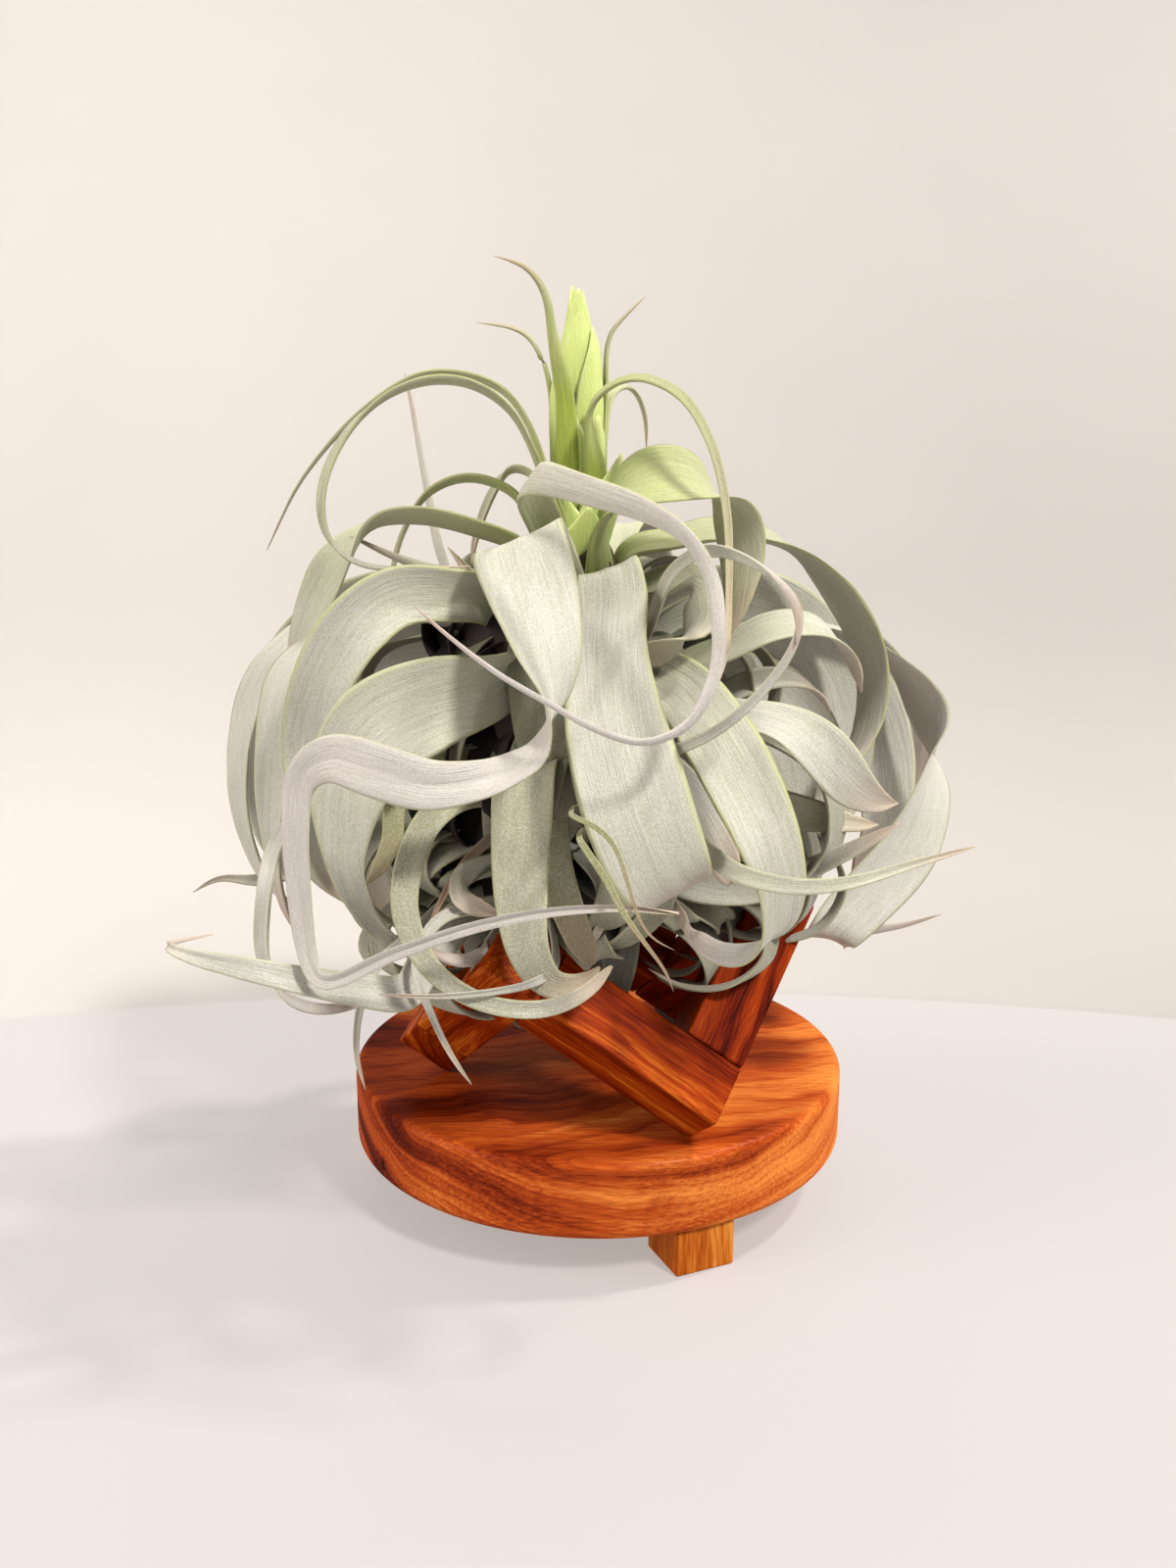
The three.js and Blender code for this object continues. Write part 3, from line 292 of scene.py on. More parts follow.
    "leaf_right_outer": ((26, 146, 13, "stem"), [
        (23, 6, 163, 0, 1, 0.3, 16), (54, 21, 170, 0, 1, 0.3, 17), (85, 29, 162, -0.2, 1, 0.2, 18),
        (102, 27, 141, -0.5, 0.85, 0, 23), (104, 17, 120, 0.6, 0.7, -0.2, 21),
        (96, 8, 101, 0.9, 0.3, -0.3, 21), (81, 0, 86, 1, 0.1, -0.3, 19), (70, -4, 76, 1, 0.1, -0.25, 17),
        (73, 6, 73, 1, 0, -0.2, 12), (84, 12, 72, 0.4, 0.5, -0.7, 6), (97, 14, 73, 0, 0.5, -0.8, 2.6),
        (109, 14, 77, 0, 0.5, -0.8, 1),
    ]),
    "leaf_right_arch": ((-16, 162, 10.4, "stem"), [
        (19, -24, 161, 0, 0.9, 0.4, 12), (35, -34, 168, -0.1, 0.9, 0.4, 14),
        (47, -36, 174, -0.1, 0.9, 0.5, 13.5), (59, -34, 174, -0.2, 0.9, 0.5, 12),
        (68, -30, 166, -0.5, 0.8, 0.2, 8), (73, -26, 155, -0.6, 0.8, 0, 2),
    ]),
    "leaf_right_small_arch": ((-16, 145, 9, "stem"), [
        (22, -23, 144, 0, 0.9, 0.4, 10.6), (38, -28, 156, -0.1, 0.9, 0.4, 12),
        (50, -28, 159, -0.1, 0.9, 0.5, 10), (59, -26, 156, -0.4, 0.8, 0.3, 7),
        (65, -24, 149, -0.5, 0.8, 0, 2),
    ]),
    "leaf_right_folded": ((-40, 134, 13, "stem"), [
        (20, -44, 150, 0.2, 0.8, 0.5, 12), (35, -58, 154, 0.3, 0.8, 0.5, 12),
        (47, -66, 153, 0.5, 0.7, 0.5, 13), (56, -70, 147, 0.7, 0.3, 0.7, 15),
        (63, -70, 139, 0.7, 0.1, 0.7, 13.5), (70, -67, 134, 0.5, 0.2, 0.85, 7),
        (77, -62, 132, 0.3, 0.3, 0.9, 1.5),
    ]),
    "leaf_right_yellow": ((-34, 114, 10, "stem"), [
        (21, -34, 131, -0.1, 0.4, 1, 11), (38, -40, 128, -0.1, 0.4, 1, 11), (53, -44, 125, -0.1, 0.4, 1, 11),
        (63, -44, 123, -0.2, 0.4, 1, 8), (71, -42, 121, -0.2, 0.4, 1, 4.4), (77, -38, 120, -0.2, 0.4, 1, 1.4),
    ]),
    "leaf_right_pale_band": ((-20, 110, 8, "stem"), [
        (25, -22, 97, 0, 0.4, 1, 7), (41, -34, 101, 0.1, 0.4, 1, 7), (55, -47, 109, 0.2, 0.4, 1, 7),
        (65, -51, 115, 0.3, 0.4, 1, 5.5), (75, -52, 121, 0.3, 0.4, 1, 3.5), (80, -51, 124, 0.3, 0.4, 1, 1.2),
    ]),
    "leaf_right_long_thin": ((-62, 108, 7, "stem"), [
        (17, -62, 127, 0.2, 0.4, 1, 6), (27, -76, 123, 0.2, 0.4, 1, 5.6), (34, -97, 123, 0.2, 0.4, 1, 5.2),
        (45, -106, 123, 0, 0.4, 1, 4.6), (57, -109, 125, -0.1, 0.4, 1, 3.6),
        (71, -108, 129, -0.2, 0.4, 1, 2.4), (86, -104, 132, -0.2, 0.4, 1, 1),
    ]),
    "leaf_right_hook": ((-54, 150, 13, "stem"), [
        (13, -40, 162, 1, 0, 0.5, 17), (22, -53, 159, 1, 0, 0.45, 18), (29, -67, 151, 1, 0, 0.4, 19),
        (35, -79, 141, 1, 0, 0.35, 19), (41, -87, 128, 1, 0, 0.25, 16), (44, -88, 116, 1, 0.1, 0.1, 12),
        (43, -85, 105, 0.8, 0.5, 0.2, 9.5), (37, -78, 97, 0.3, 0.8, 0.5, 8),
        (29, -70, 95, -0.1, 0.8, 0.6, 6.5), (23, -62, 99, -0.5, 0.8, 0.4, 5),
        (20, -56, 104, -0.6, 0.8, 0.2, 3),
    ]),
    "leaf_right_low_band": ((-46, 101, 9, "stem"), [
        (10, -36, 109, 0, 0.4, 1, 9), (21, -45, 106, 0, 0.4, 1, 9.6), (33, -50, 105, 0, 0.4, 1, 9.2),
        (44, -52, 106, -0.1, 0.4, 1, 8), (51, -53, 110, -0.2, 0.4, 1, 6), (56, -53, 114, -0.2, 0.4, 1, 3),
    ]),
    "leaf_right_shaded": ((-52, 120, 11, "stem"), [
        (10, -38, 138, 1, 0.2, 0.5, 12), (20, -54, 135, 1, 0.3, 0.5, 13), (27, -62, 127, 1, 0.4, 0.4, 12),
        (32, -65, 117, 1, 0.4, 0.3, 10), (34, -62, 110, 1, 0.4, 0.2, 5),
    ]),
    "leaf_right_rising_tip": ((-64, 138, 8, "stem"), [
        (6, -50, 147, -0.2, 0.3, 1, 6), (18, -64, 147, -0.2, -0.2, 1, 5), (20, -77, 150, -0.3, -0.3, 1, 5),
        (29, -90, 158, -0.5, -0.3, 0.9, 4.8), (39, -91, 168, -0.8, -0.3, 0.6, 4.4),
        (45, -91, 178, -1, -0.3, 0.2, 3.6), (46, -90, 186, -1, -0.3, 0, 2.4),
        (44, -89, 190, -0.9, -0.3, -0.2, 1),
    ]),
}

thinLeafRows = {  # thin tips, curls and strands between the leaves, in the same way
    "tip_brown_thin": ((240, 116, 5, "stem"), [
        (-17, -34, 124, 0.6, 0.2, -0.8, 5), (-28, -48, 120, 0.7, 0.1, -0.7, 4),
        (-37, -58, 113, 0.8, 0, -0.6, 3), (-42, -62, 105, 0.8, 0, -0.5, 2), (-45, -64, 99, 0.8, 0, -0.4, 1),
    ]),
    "strand_low_thin": ((250, 92, 5, "stem"), [
        (-14, -50, 99, 0.2, 0.4, -1, 4), (-12, -70, 91, 0.6, 0.3, -0.6, 3.4), (-18, -84, 91, 0, 0.3, -1, 2.8),
        (-37, -92, 91, 0, 0.3, -1, 2.2), (-54, -94, 92, 0, 0.3, -1, 1),
    ]),
    "young_leaf_back": ((150, 196, 7, "spike"), [
        (-18, 4, 212, 0, -1, 0.3, 6.5), (-25, 8, 215, 0.2, -1, 0.3, 6), (-31, 12, 208, 0.6, -0.8, 0.1, 5),
        (-36, 14, 196, 0.6, -0.8, 0, 4), (-38, 14, 187, 0.6, -0.8, 0, 2),
    ]),
    "curl_small_left": ((236, 104, 6, "stem"), [
        (-22, -40, 97, 0, 0.4, -1, 5.4), (-26, -50, 99, 0.3, 0.4, -1, 5), (-27, -58, 95, 0.9, 0.3, 0, 4.6),
        (-34, -64, 90, 0.2, 0.6, 0.8, 4.4), (-43, -66, 93, -0.6, 0.6, 0.4, 3.8),
        (-48, -64, 98, -0.9, 0.3, 0, 2),
    ]),
    "curl_small_right": ((-80, 112, 6, "stem"), [
        (-6, -48, 115, 1, 0, 0.2, 5), (0, -56, 110, 0.9, 0.2, 0.4, 4.6), (1, -60, 102, 0.9, 0.3, 0.2, 4),
        (-3, -60, 93, 0.5, 0.5, -0.6, 3), (-7, -58, 89, 0.2, 0.5, -0.8, 1.4),
    ]),
    "tip_hanging_left": ((214, 98, 5, "stem"), [
        (-36, -40, 103, 0.2, 0.4, -1, 5), (-50, -56, 95, 0.5, 0.4, -0.8, 4.4),
        (-60, -64, 87, 0.9, 0.2, -0.2, 3.4), (-63, -68, 78, 1, 0.1, 0, 2.6), (-64, -70, 66, 1, 0, 0, 1.8),
        (-62, -70, 56, 1, 0, 0, 0.9),
    ]),
    "green_strand_1": ((200, 168, 5, "stem"), [
        (-24, -30, 182, 0, 0.3, -1, 4), (-31, -34, 185, 0.1, 0.3, -1, 3.4),
        (-37, -38, 192, 0.2, 0.3, -1, 2.6), (-40, -40, 196, 0.3, 0.3, -1, 1.2),
    ]),
    "green_strand_2": ((196, 172, 6, "stem"), [
        (-22, -26, 185, 0, -0.6, 1, 5), (-32, -30, 187, 0, -0.6, 1, 4.6), (-45, -32, 189, 0, -0.6, 1, 4),
        (-57, -30, 193, 0.1, -0.7, 0.8, 3), (-68, -26, 198, 0.2, -0.8, 0.6, 1.2),
    ]),
    "fill_right_1": ((24, 152, 12, "stem"), [
        (14, 0, 170, 0, 0.4, 1, 18), (35, 14, 175, 0, 0.3, 1, 24), (57, 22, 169, 0.4, 0.3, 0.9, 26),
        (72, 26, 151, 0.9, 0.3, 0.4, 26), (77, 24, 128, 1, 0.3, -0.1, 22), (72, 18, 107, 0.9, 0.2, -0.5, 14),
        (60, 10, 95, 0.5, 0.2, -0.9, 4),
    ]),
    "fill_right_2": ((12, 134, 12, "stem"), [
        (15, -6, 148, 0, 0.4, 1, 18), (35, 6, 150, 0, 0.3, 1, 25), (54, 14, 144, 0.4, 0.2, 0.9, 27),
        (66, 18, 125, 0.9, 0.2, 0.4, 25), (68, 16, 103, 1, 0.2, 0, 19), (60, 8, 85, 0.8, 0.2, -0.6, 8),
    ]),
    "fill_right_3": ((0, 116, 11, "stem"), [
        (15, -10, 125, 0, 0.3, 1, 18), (34, 0, 124, 0, 0.3, 1, 23), (49, 6, 115, 0.5, 0.2, 0.8, 23),
        (56, 6, 96, 1, 0.2, 0, 18), (53, 2, 80, 0.9, 0.2, -0.5, 7),
    ]),
    "fill_right_4": ((34, 140, 12, "stem"), [
        (34, 30, 151, 0, 0.3, 1, 18), (60, 38, 156, 0, 0.3, 1, 24), (82, 42, 146, 0.7, 0.3, 0.7, 26),
        (93, 42, 123, 1, 0.3, 0, 24), (93, 36, 101, 1, 0.2, -0.3, 17), (83, 28, 85, 0.8, 0.2, -0.6, 6),
    ]),
    "fill_left_1": ((156, 150, 12, "stem"), [
        (-23, 0, 164, 0, 0.4, -1, 18), (-47, 12, 168, 0, 0.3, -1, 24), (-70, 18, 162, 0.4, 0.3, -0.9, 26),
        (-88, 20, 141, 0.95, 0.3, -0.3, 26), (-92, 16, 116, 1, 0.3, 0.1, 21), (-85, 8, 95, 0.9, 0.2, 0.5, 13),
        (-72, 2, 83, 0.5, 0.2, 0.9, 4),
    ]),
    "fill_left_2": ((176, 128, 12, "stem"), [
        (-23, -8, 142, 0, 0.4, -1, 18), (-44, 2, 141, 0, 0.3, -1, 23), (-63, 8, 132, 0.6, 0.3, -0.8, 25),
        (-73, 10, 113, 1, 0.3, -0.1, 23), (-72, 6, 93, 1, 0.2, 0.2, 17), (-63, 0, 78, 0.7, 0.2, 0.7, 6),
    ]),
    "fill_left_3": ((166, 166, 12, "stem"), [
        (-27, 10, 174, 0, 0.4, -1, 16), (-55, 26, 176, 0, 0.3, -1, 22), (-81, 34, 168, 0.4, 0.3, -0.9, 25),
        (-99, 36, 148, 0.95, 0.3, -0.3, 25), (-106, 34, 123, 1, 0.3, 0.1, 21),
        (-103, 28, 100, 1, 0.2, 0.3, 15), (-92, 18, 82, 0.8, 0.2, 0.6, 5),
    ]),
    "ring_top": ((-40, 158, 5, "stem"), [
        (11, -34, 170, 0, -0.6, 1, 5), (19, -60, 192, 0, -0.6, 1, 4), (28, -78, 198, -0.1, -0.5, 1, 3.8),
        (37, -87, 195, -0.5, -0.4, 0.8, 3.6), (43, -90, 190, -0.9, -0.3, 0.3, 3.2),
        (46, -91, 183, -1, -0.3, 0, 2.6), (45, -92, 177, -1, -0.3, -0.2, 1.2),
    ]),
    "fill_left_4": ((190, 120, 12, "stem"), [
        (-22, -12, 125, 0, 0.3, -1, 18), (-36, 2, 116, 0.2, 0.3, -0.9, 24),
        (-47, 10, 102, 0.6, 0.3, -0.6, 26), (-52, 10, 87, 0.9, 0.3, -0.1, 24),
        (-49, 4, 73, 0.9, 0.2, 0.4, 12),
    ]),
}

# Leaf paths: an even run of places, widths and cups from the few rows of a leaf.

pathRule = {
    "spacing": 1.7,  # mm between the sections of a blade
    "samples": 40,  # points between two rows, before the path is evened
    "fewest": 8,
    "place softness": 1.3,  # in sections
    "side softness": 3.0,
    "size softness": 3.0,
}


def spikeRadius(height):
    return float(np.interp(height, stem["spikeHeights"], stem["spikeRadii"]))


def carrierRadius(height):
    return spikeRadius(height) if height > stem["top"] else stem["radius"]


def curveThrough(values):  # centripetal spline with its natural ends mirrored
    values = np.asarray(values, float)
    padded = np.vstack([2 * values[0] - values[1], values, 2 * values[-1] - values[-2]])
    pieces = []
    share = np.linspace(0, 1, pathRule["samples"], endpoint=False)[:, None]
    for index in range(len(values) - 1):
        a, b, c, d = padded[index:index + 4]
        before, here, after = (float(np.linalg.norm(q - p)) ** 0.5 for p, q in ((a, b), (b, c), (c, d)))
        here = here if here >= 1e-4 else 1
        before = before if before >= 1e-4 else here
        after = after if after >= 1e-4 else here
        leave = ((b - a) / before - (c - a) / (before + here) + (c - b) / here) * here
        arrive = ((c - b) / here - (d - b) / (here + after) + (d - c) / after) * here
        pieces.append(b + leave * share + (3 * (c - b) - 2 * leave - arrive) * share ** 2
                      + (2 * (b - c) + leave + arrive) * share ** 3)
    return np.vstack(pieces + [values[-1:]])


def soften(values, sigma):  # evens a row of numbers out and keeps its two ends
    reach = max(1, int(3 * sigma))
    weights = np.exp(-0.5 * (np.arange(-reach, reach + 1) / sigma) ** 2)
    weights /= weights.sum()
    padded = np.pad(values, ((reach, reach), (0, 0)), mode="reflect", reflect_type="odd")
    soft = np.column_stack([np.convolve(padded[:, i], weights, mode="valid") for i in range(values.shape[1])])
    soft[0], soft[-1] = values[0], values[-1]
    return soft


def unit(vectors):
    return vectors / np.maximum(np.linalg.norm(vectors, axis=1, keepdims=True), 1e-9)


def evenPath(rows):  # rows of place, across, width and cup -> even steps along the blade
    rows = np.asarray(rows, float)
    places = curveThrough(rows[:, :3])
    sides = curveThrough(unit(rows[:, 3:6]))
    order = np.linspace(0, len(rows) - 1, len(places))
    sizes = np.column_stack([np.interp(order, np.arange(len(rows)), rows[:, k]) for k in (6, 7)])
    steps = np.linalg.norm(np.diff(places, axis=0), axis=1)
    along = np.concatenate([[0], np.cumsum(steps)])
    count = max(pathRule["fewest"], int(round(along[-1] / pathRule["spacing"])) + 1)
    even = np.linspace(0, along[-1], count)
    table = np.column_stack([places, sides, sizes])
    table = np.column_stack([np.interp(even, along, table[:, k]) for k in range(table.shape[1])])
    places = soften(table[:, :3], pathRule["place softness"])
    sides = soften(table[:, 3:6], pathRule["side softness"])
    sizes = soften(table[:, 6:8], pathRule["size softness"])
    tangents = unit(np.gradient(places, axis=0))
    sides = unit(sides - tangents * np.sum(sides * tangents, axis=1, keepdims=True))
    uppers = np.cross(tangents, sides)
    rowAlong = np.interp(np.arange(len(rows)) / (len(rows) - 1) * order[-1], order, along)
    return {"places": places, "across": sides, "upper": uppers, "width": sizes[:, 0], "cup": sizes[:, 1],
            "along": even, "rowAlong": rowAlong}


# Leaf blades: one node tree lofts a thin cupped strap with a rippled edge along a path.

bladeShape = {
    "half thickness": 0.55,
    "thinnest": 0.11,  # half thickness of a narrow end, as a share of its width
    "edge wave": 1.1,
    "wave length": 21,
    "wave growth": 0.055,  # share of the ripple that each mm of width brings
    "edge sharpness": 6,  # the section keeps its thickness almost to the rim
    "points per mm": 0.85,
    "fewest points": 7,
    "most points": 22,
    "seed spread": 40,
    "cup": 0.75,  # radians that a blade's section turns through
    "thread cup": 2.3,  # narrow ends roll into a gutter
    "thread width": 8,
}


def buildBladeTree():  # a closed blade along the path's points, shaped by their attributes
    tree = bpy.data.node_groups.new("leafBlade", "GeometryNodeTree")
    for name, kind, value in (
            ("Path", "NodeSocketGeometry", None), ("Points across", "NodeSocketInt", 12),
            ("Half thickness", "NodeSocketFloat", bladeShape["half thickness"] * mm),
            ("Edge wave", "NodeSocketFloat", bladeShape["edge wave"] * mm),
            ("Wave length", "NodeSocketFloat", bladeShape["wave length"] * mm),
            ("Seed", "NodeSocketFloat", 0.0), ("Finish", "NodeSocketMaterial", None)):
        entry = tree.interface.new_socket(name, in_out="INPUT", socket_type=kind)
        if value is not None:
            entry.default_value = value
    tree.interface.new_socket("Blade", in_out="OUTPUT", socket_type="NodeSocketGeometry")
    given = addNode(tree, "NodeGroupInput").outputs
    size = addNode(tree, "GeometryNodeAttributeDomainSize", {"Geometry": given["Path"]})
    lastRing = addNode(tree, "ShaderNodeMath", {0: size.outputs["Point Count"], 1: 1}, operation="SUBTRACT")
    around = addNode(tree, "ShaderNodeMath", {0: given["Points across"], 1: 2}, operation="MULTIPLY")
    tube = addNode(tree, "GeometryNodeMeshCylinder",
                   {"Vertices": around, "Side Segments": lastRing, "Radius": 1, "Depth": 1},
                   fill_type="NGON")
    spot = addNode(tree, "ShaderNodeSeparateXYZ", {0: addNode(tree, "GeometryNodeInputPosition")}).outputs
    halfRing = addNode(tree, "ShaderNodeMath", {0: lastRing, 1: 0.5}, operation="MULTIPLY")
    ringPlace = addNode(tree, "ShaderNodeMath", {0: spot["Z"], 1: lastRing, 2: halfRing},
                        operation="MULTIPLY_ADD")
    ring = addNode(tree, "ShaderNodeMath", {0: ringPlace}, operation="ROUND")
    angle = addNode(tree, "ShaderNodeMath", {0: spot["Y"], 1: spot["X"]}, operation="ARCTAN2")
    turn = addNode(tree, "ShaderNodeMath", {0: angle}, operation="ABSOLUTE")
    share = addNode(tree, "ShaderNodeMath", {0: turn, 1: -2 / math.pi, 2: 1}, operation="MULTIPLY_ADD")
    edge = addNode(tree, "ShaderNodeMath", {0: share}, operation="ABSOLUTE")
    side = addNode(tree, "ShaderNodeMath", {0: spot["Y"]}, operation="SIGN")
    steep = addNode(tree, "ShaderNodeMath", {0: edge, 1: bladeShape["edge sharpness"]}, operation="POWER")
    rest = addNode(tree, "ShaderNodeMath", {0: 1, 1: steep}, operation="SUBTRACT", use_clamp=True)
    bulge = addNode(tree, "ShaderNodeMath", {0: rest}, operation="SQRT")
    face = addNode(tree, "ShaderNodeMath", {0: side, 1: bulge}, operation="MULTIPLY")
    sampled = {}
    for name in ("position", "across", "upper", "pathSize", "pathShade", "pathMark", "pathTint"):
        if name == "position":
            source = addNode(tree, "GeometryNodeInputPosition")
        else:
            source = addNode(tree, "GeometryNodeInputNamedAttribute", {"Name": name},
                             data_type="FLOAT_VECTOR")
        sampled[name] = addNode(tree, "GeometryNodeSampleIndex",
                                {"Geometry": given["Path"], "Value": source, "Index": ring},
                                data_type="FLOAT_VECTOR", domain="POINT", clamp=True)
    width, cup, crease = addNode(tree, "ShaderNodeSeparateXYZ", {0: sampled["pathSize"]}).outputs
    along, seed, rim = addNode(tree, "ShaderNodeSeparateXYZ", {0: sampled["pathMark"]}).outputs
    halfCup = addNode(tree, "ShaderNodeMath", {0: cup, 1: 0.5}, operation="MULTIPLY")
    bend = addNode(tree, "ShaderNodeMath", {0: halfCup, 1: share}, operation="MULTIPLY")
    radius = addNode(tree, "ShaderNodeMath", {0: width, 1: cup}, operation="DIVIDE")
    thin = addNode(tree, "ShaderNodeMath", {0: width, 1: bladeShape["thinnest"]}, operation="MULTIPLY")
    half = addNode(tree, "ShaderNodeMath", {0: thin, 1: given["Half thickness"]}, operation="MINIMUM")
    lift = addNode(tree, "ShaderNodeMath", {0: face, 1: half}, operation="MULTIPLY")
    inner = addNode(tree, "ShaderNodeMath", {0: radius, 1: lift}, operation="SUBTRACT")
    sine = addNode(tree, "ShaderNodeMath", {0: bend}, operation="SINE")
    cosine = addNode(tree, "ShaderNodeMath", {0: bend}, operation="COSINE")
    sideways = addNode(tree, "ShaderNodeMath", {0: inner, 1: sine}, operation="MULTIPLY")
    drop = addNode(tree, "ShaderNodeMath", {0: inner, 1: cosine}, operation="MULTIPLY")
    rise = addNode(tree, "ShaderNodeMath", {0: radius, 1: drop}, operation="SUBTRACT")
    waveAlong = addNode(tree, "ShaderNodeMath", {0: along, 1: given["Wave length"]}, operation="DIVIDE")
    waveSpot = addNode(tree, "ShaderNodeCombineXYZ", {0: waveAlong, 1: share, 2: given["Seed"]})
    ripple = addNode(tree, "ShaderNodeTexNoise", {"Vector": waveSpot, "Scale": 1.0, "Detail": 1.0})
    swing = addNode(tree, "ShaderNodeMath", {0: ripple.outputs[0], 1: 2, 2: -1}, operation="MULTIPLY_ADD")
    edgeSquared = addNode(tree, "ShaderNodeMath", {0: edge, 1: 2}, operation="POWER")
    wide = addNode(tree, "ShaderNodeMath", {0: width, 1: bladeShape["wave growth"] / mm},
                   operation="MULTIPLY", use_clamp=True)
    waveSize = addNode(tree, "ShaderNodeMath", {0: given["Edge wave"], 1: wide}, operation="MULTIPLY")
    waveHere = addNode(tree, "ShaderNodeMath", {0: edgeSquared, 1: waveSize}, operation="MULTIPLY")
    wave = addNode(tree, "ShaderNodeMath", {0: swing, 1: waveHere, 2: rise}, operation="MULTIPLY_ADD")
    height = addNode(tree, "ShaderNodeMath", {0: edge, 1: crease, 2: wave}, operation="MULTIPLY_ADD")
    moved = addNode(tree, "ShaderNodeVectorMath",
                    {0: sampled["across"], 1: sideways, 2: sampled["position"]}, operation="MULTIPLY_ADD")
    placed = addNode(tree, "ShaderNodeVectorMath", {0: sampled["upper"], 1: height, 2: moved},
                     operation="MULTIPLY_ADD")
    halfWidth = addNode(tree, "ShaderNodeMath", {0: width, 1: 0.5 / mm}, operation="MULTIPLY")
    acrossMm = addNode(tree, "ShaderNodeMath", {0: share, 1: halfWidth}, operation="MULTIPLY")
    alongMm = addNode(tree, "ShaderNodeMath", {0: along, 1: 1 / mm}, operation="MULTIPLY")
    place = addNode(tree, "ShaderNodeCombineXYZ", {0: acrossMm, 1: alongMm, 2: face})
    mark = addNode(tree, "ShaderNodeCombineXYZ", {0: edge, 1: seed, 2: rim})
    shape = tube.outputs["Mesh"]
    for name, value in (("bladePlace", place), ("bladeShade", sampled["pathShade"]), ("bladeMark", mark),
                        ("bladeTint", sampled["pathTint"])):
        shape = addNode(tree, "GeometryNodeStoreNamedAttribute",
                        {"Geometry": shape, "Name": name, "Value": value},
                        data_type="FLOAT_VECTOR", domain="POINT").outputs[0]
    shape = addNode(tree, "GeometryNodeSetPosition", {"Geometry": shape, "Position": placed})
    shape = addNode(tree, "GeometryNodeSetShadeSmooth", {"Geometry": shape})
    shape = addNode(tree, "GeometryNodeRealizeInstances", {"Geometry": shape})
    shape = addNode(tree, "GeometryNodeSetMaterial", {"Geometry": shape, "Material": given["Finish"]})
    addNode(tree, "NodeGroupOutput", {0: shape})
    return tree


bladeTree = buildBladeTree()
bladeInput = {s.name: s.identifier for s in bladeTree.interface.items_tree if s.in_out == "INPUT"}


def pathObject(path):  # the path's points and attributes as a string of edges
    mesh = bpy.data.meshes.new("bladePath")
    count = len(path["places"])
    mesh.from_pydata(toRow(path["places"]).tolist(), [(i, i + 1) for i in range(count - 1)], [])
    columns = {
        "across": path["across"], "upper": path["upper"],
        "pathSize": np.column_stack([path["width"] * mm, path["cup"], path["crease"] * mm]),
        "pathShade": path["shade"],
        "pathMark": np.column_stack([path["along"] * mm, np.full(count, path["seed"]), path["rim"]]),
        "pathTint": np.repeat(path.get("olive", np.zeros(count))[:, None], 3, axis=1),
    }
    for name, values in columns.items():
        layer = mesh.attributes.new(name, "FLOAT_VECTOR", "POINT")
        layer.data.foreach_set("vector", np.ascontiguousarray(values, np.float32).ravel())
    return placed("bladePath", mesh)


def bladeMesh(path, finish):  # the finished blade along a path
    carrier = pathObject(path)
    modifier = carrier.modifiers.new("leafBlade", "NODES")
    modifier.node_group = bladeTree
    modifier[bladeInput["Points across"]] = int(np.clip(
        round(path["width"].max() * bladeShape["points per mm"]),
        bladeShape["fewest points"], bladeShape["most points"]))
    modifier[bladeInput["Edge wave"]] = bladeShape["edge wave"] * mm * path["wave"]
    modifier[bladeInput["Seed"]] = path["seed"] * bladeShape["seed spread"]
    modifier[bladeInput["Finish"]] = finish
    bpy.context.view_layer.update()
    seen = carrier.evaluated_get(bpy.context.evaluated_depsgraph_get())
    mesh = bpy.data.meshes.new_from_object(seen)
    bpy.data.objects.remove(carrier)
    return mesh


slotOf = {part["node"]: part["material_slot"] for part in frame["record"]["subparts"]}


def addPiece(name, mesh, slot, *nodes):  # a finished piece, standing for its CAD nodes
    piece = placed(name, mesh)
    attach(piece, "root")
    if nodes:
        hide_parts(*nodes)
    return piece


def addJoined(name, meshes, slot, *nodes):  # several blades of one finish as one piece
    whole = bmesh.new()
    for mesh in meshes:
        whole.from_mesh(mesh)
    result = bpy.data.meshes.new(name)
    whole.to_mesh(result)
    whole.free()
    for material in meshes[0].materials:
        result.materials.append(material)
    return addPiece(name, result, slot, *nodes)


leafPalette = {
    "sage": "#9A9E84",
    "silver": "#C4C1BB",
    "lilac": "#BAB1AF",
    "lime": "#A8B83E",
    "deepLime": "#84962A",
    "tan": "#A98E77",
    # near-black: painted shade, laid on the blades near the stem and inside the rosette's heart
    "brown": "#160E10",
    "olive": "#7C7B44",
    "rim": "#A9AC75",
    "scale": "#CDCBC5",
}


leafGrain = {  # mm, unless a note says otherwise
    "streak": 1.176,
    "rib": 0.278,
    "patch": 26.3,
    "scale": 0.4545,  # the real scales are finer: drawn as coarse as they need to be to show
    "stretch": 0.035,  # how fast streaks and ribs change along the blade, next to across it
    "seed spread": 60,
    "relief": 0.5,
}
leafRanges = {  # what a share follows: its value from and to, and the share from and to
    "silver": (0.7, 1.3, 0.4, 0.9),  # follows streaks and patches
    "bare": (0.5, 0.3, 0.0, 0.25),  # gaps between the scales
    "back": (0.3, -0.5, 0.0, 0.62),  # from the upper face to the lower one
    "rib tone": (0.3, 0.7, 0.88, 1.07),
    "scale": (0.45, 0.75, 0.0, 0.5),
    "scaled": (0.0, 0.8, 1.0, 0.15),  # fewer scales the more lime the leaf is
    "rim": (0.86, 0.99, 0.0, 1.0),
}


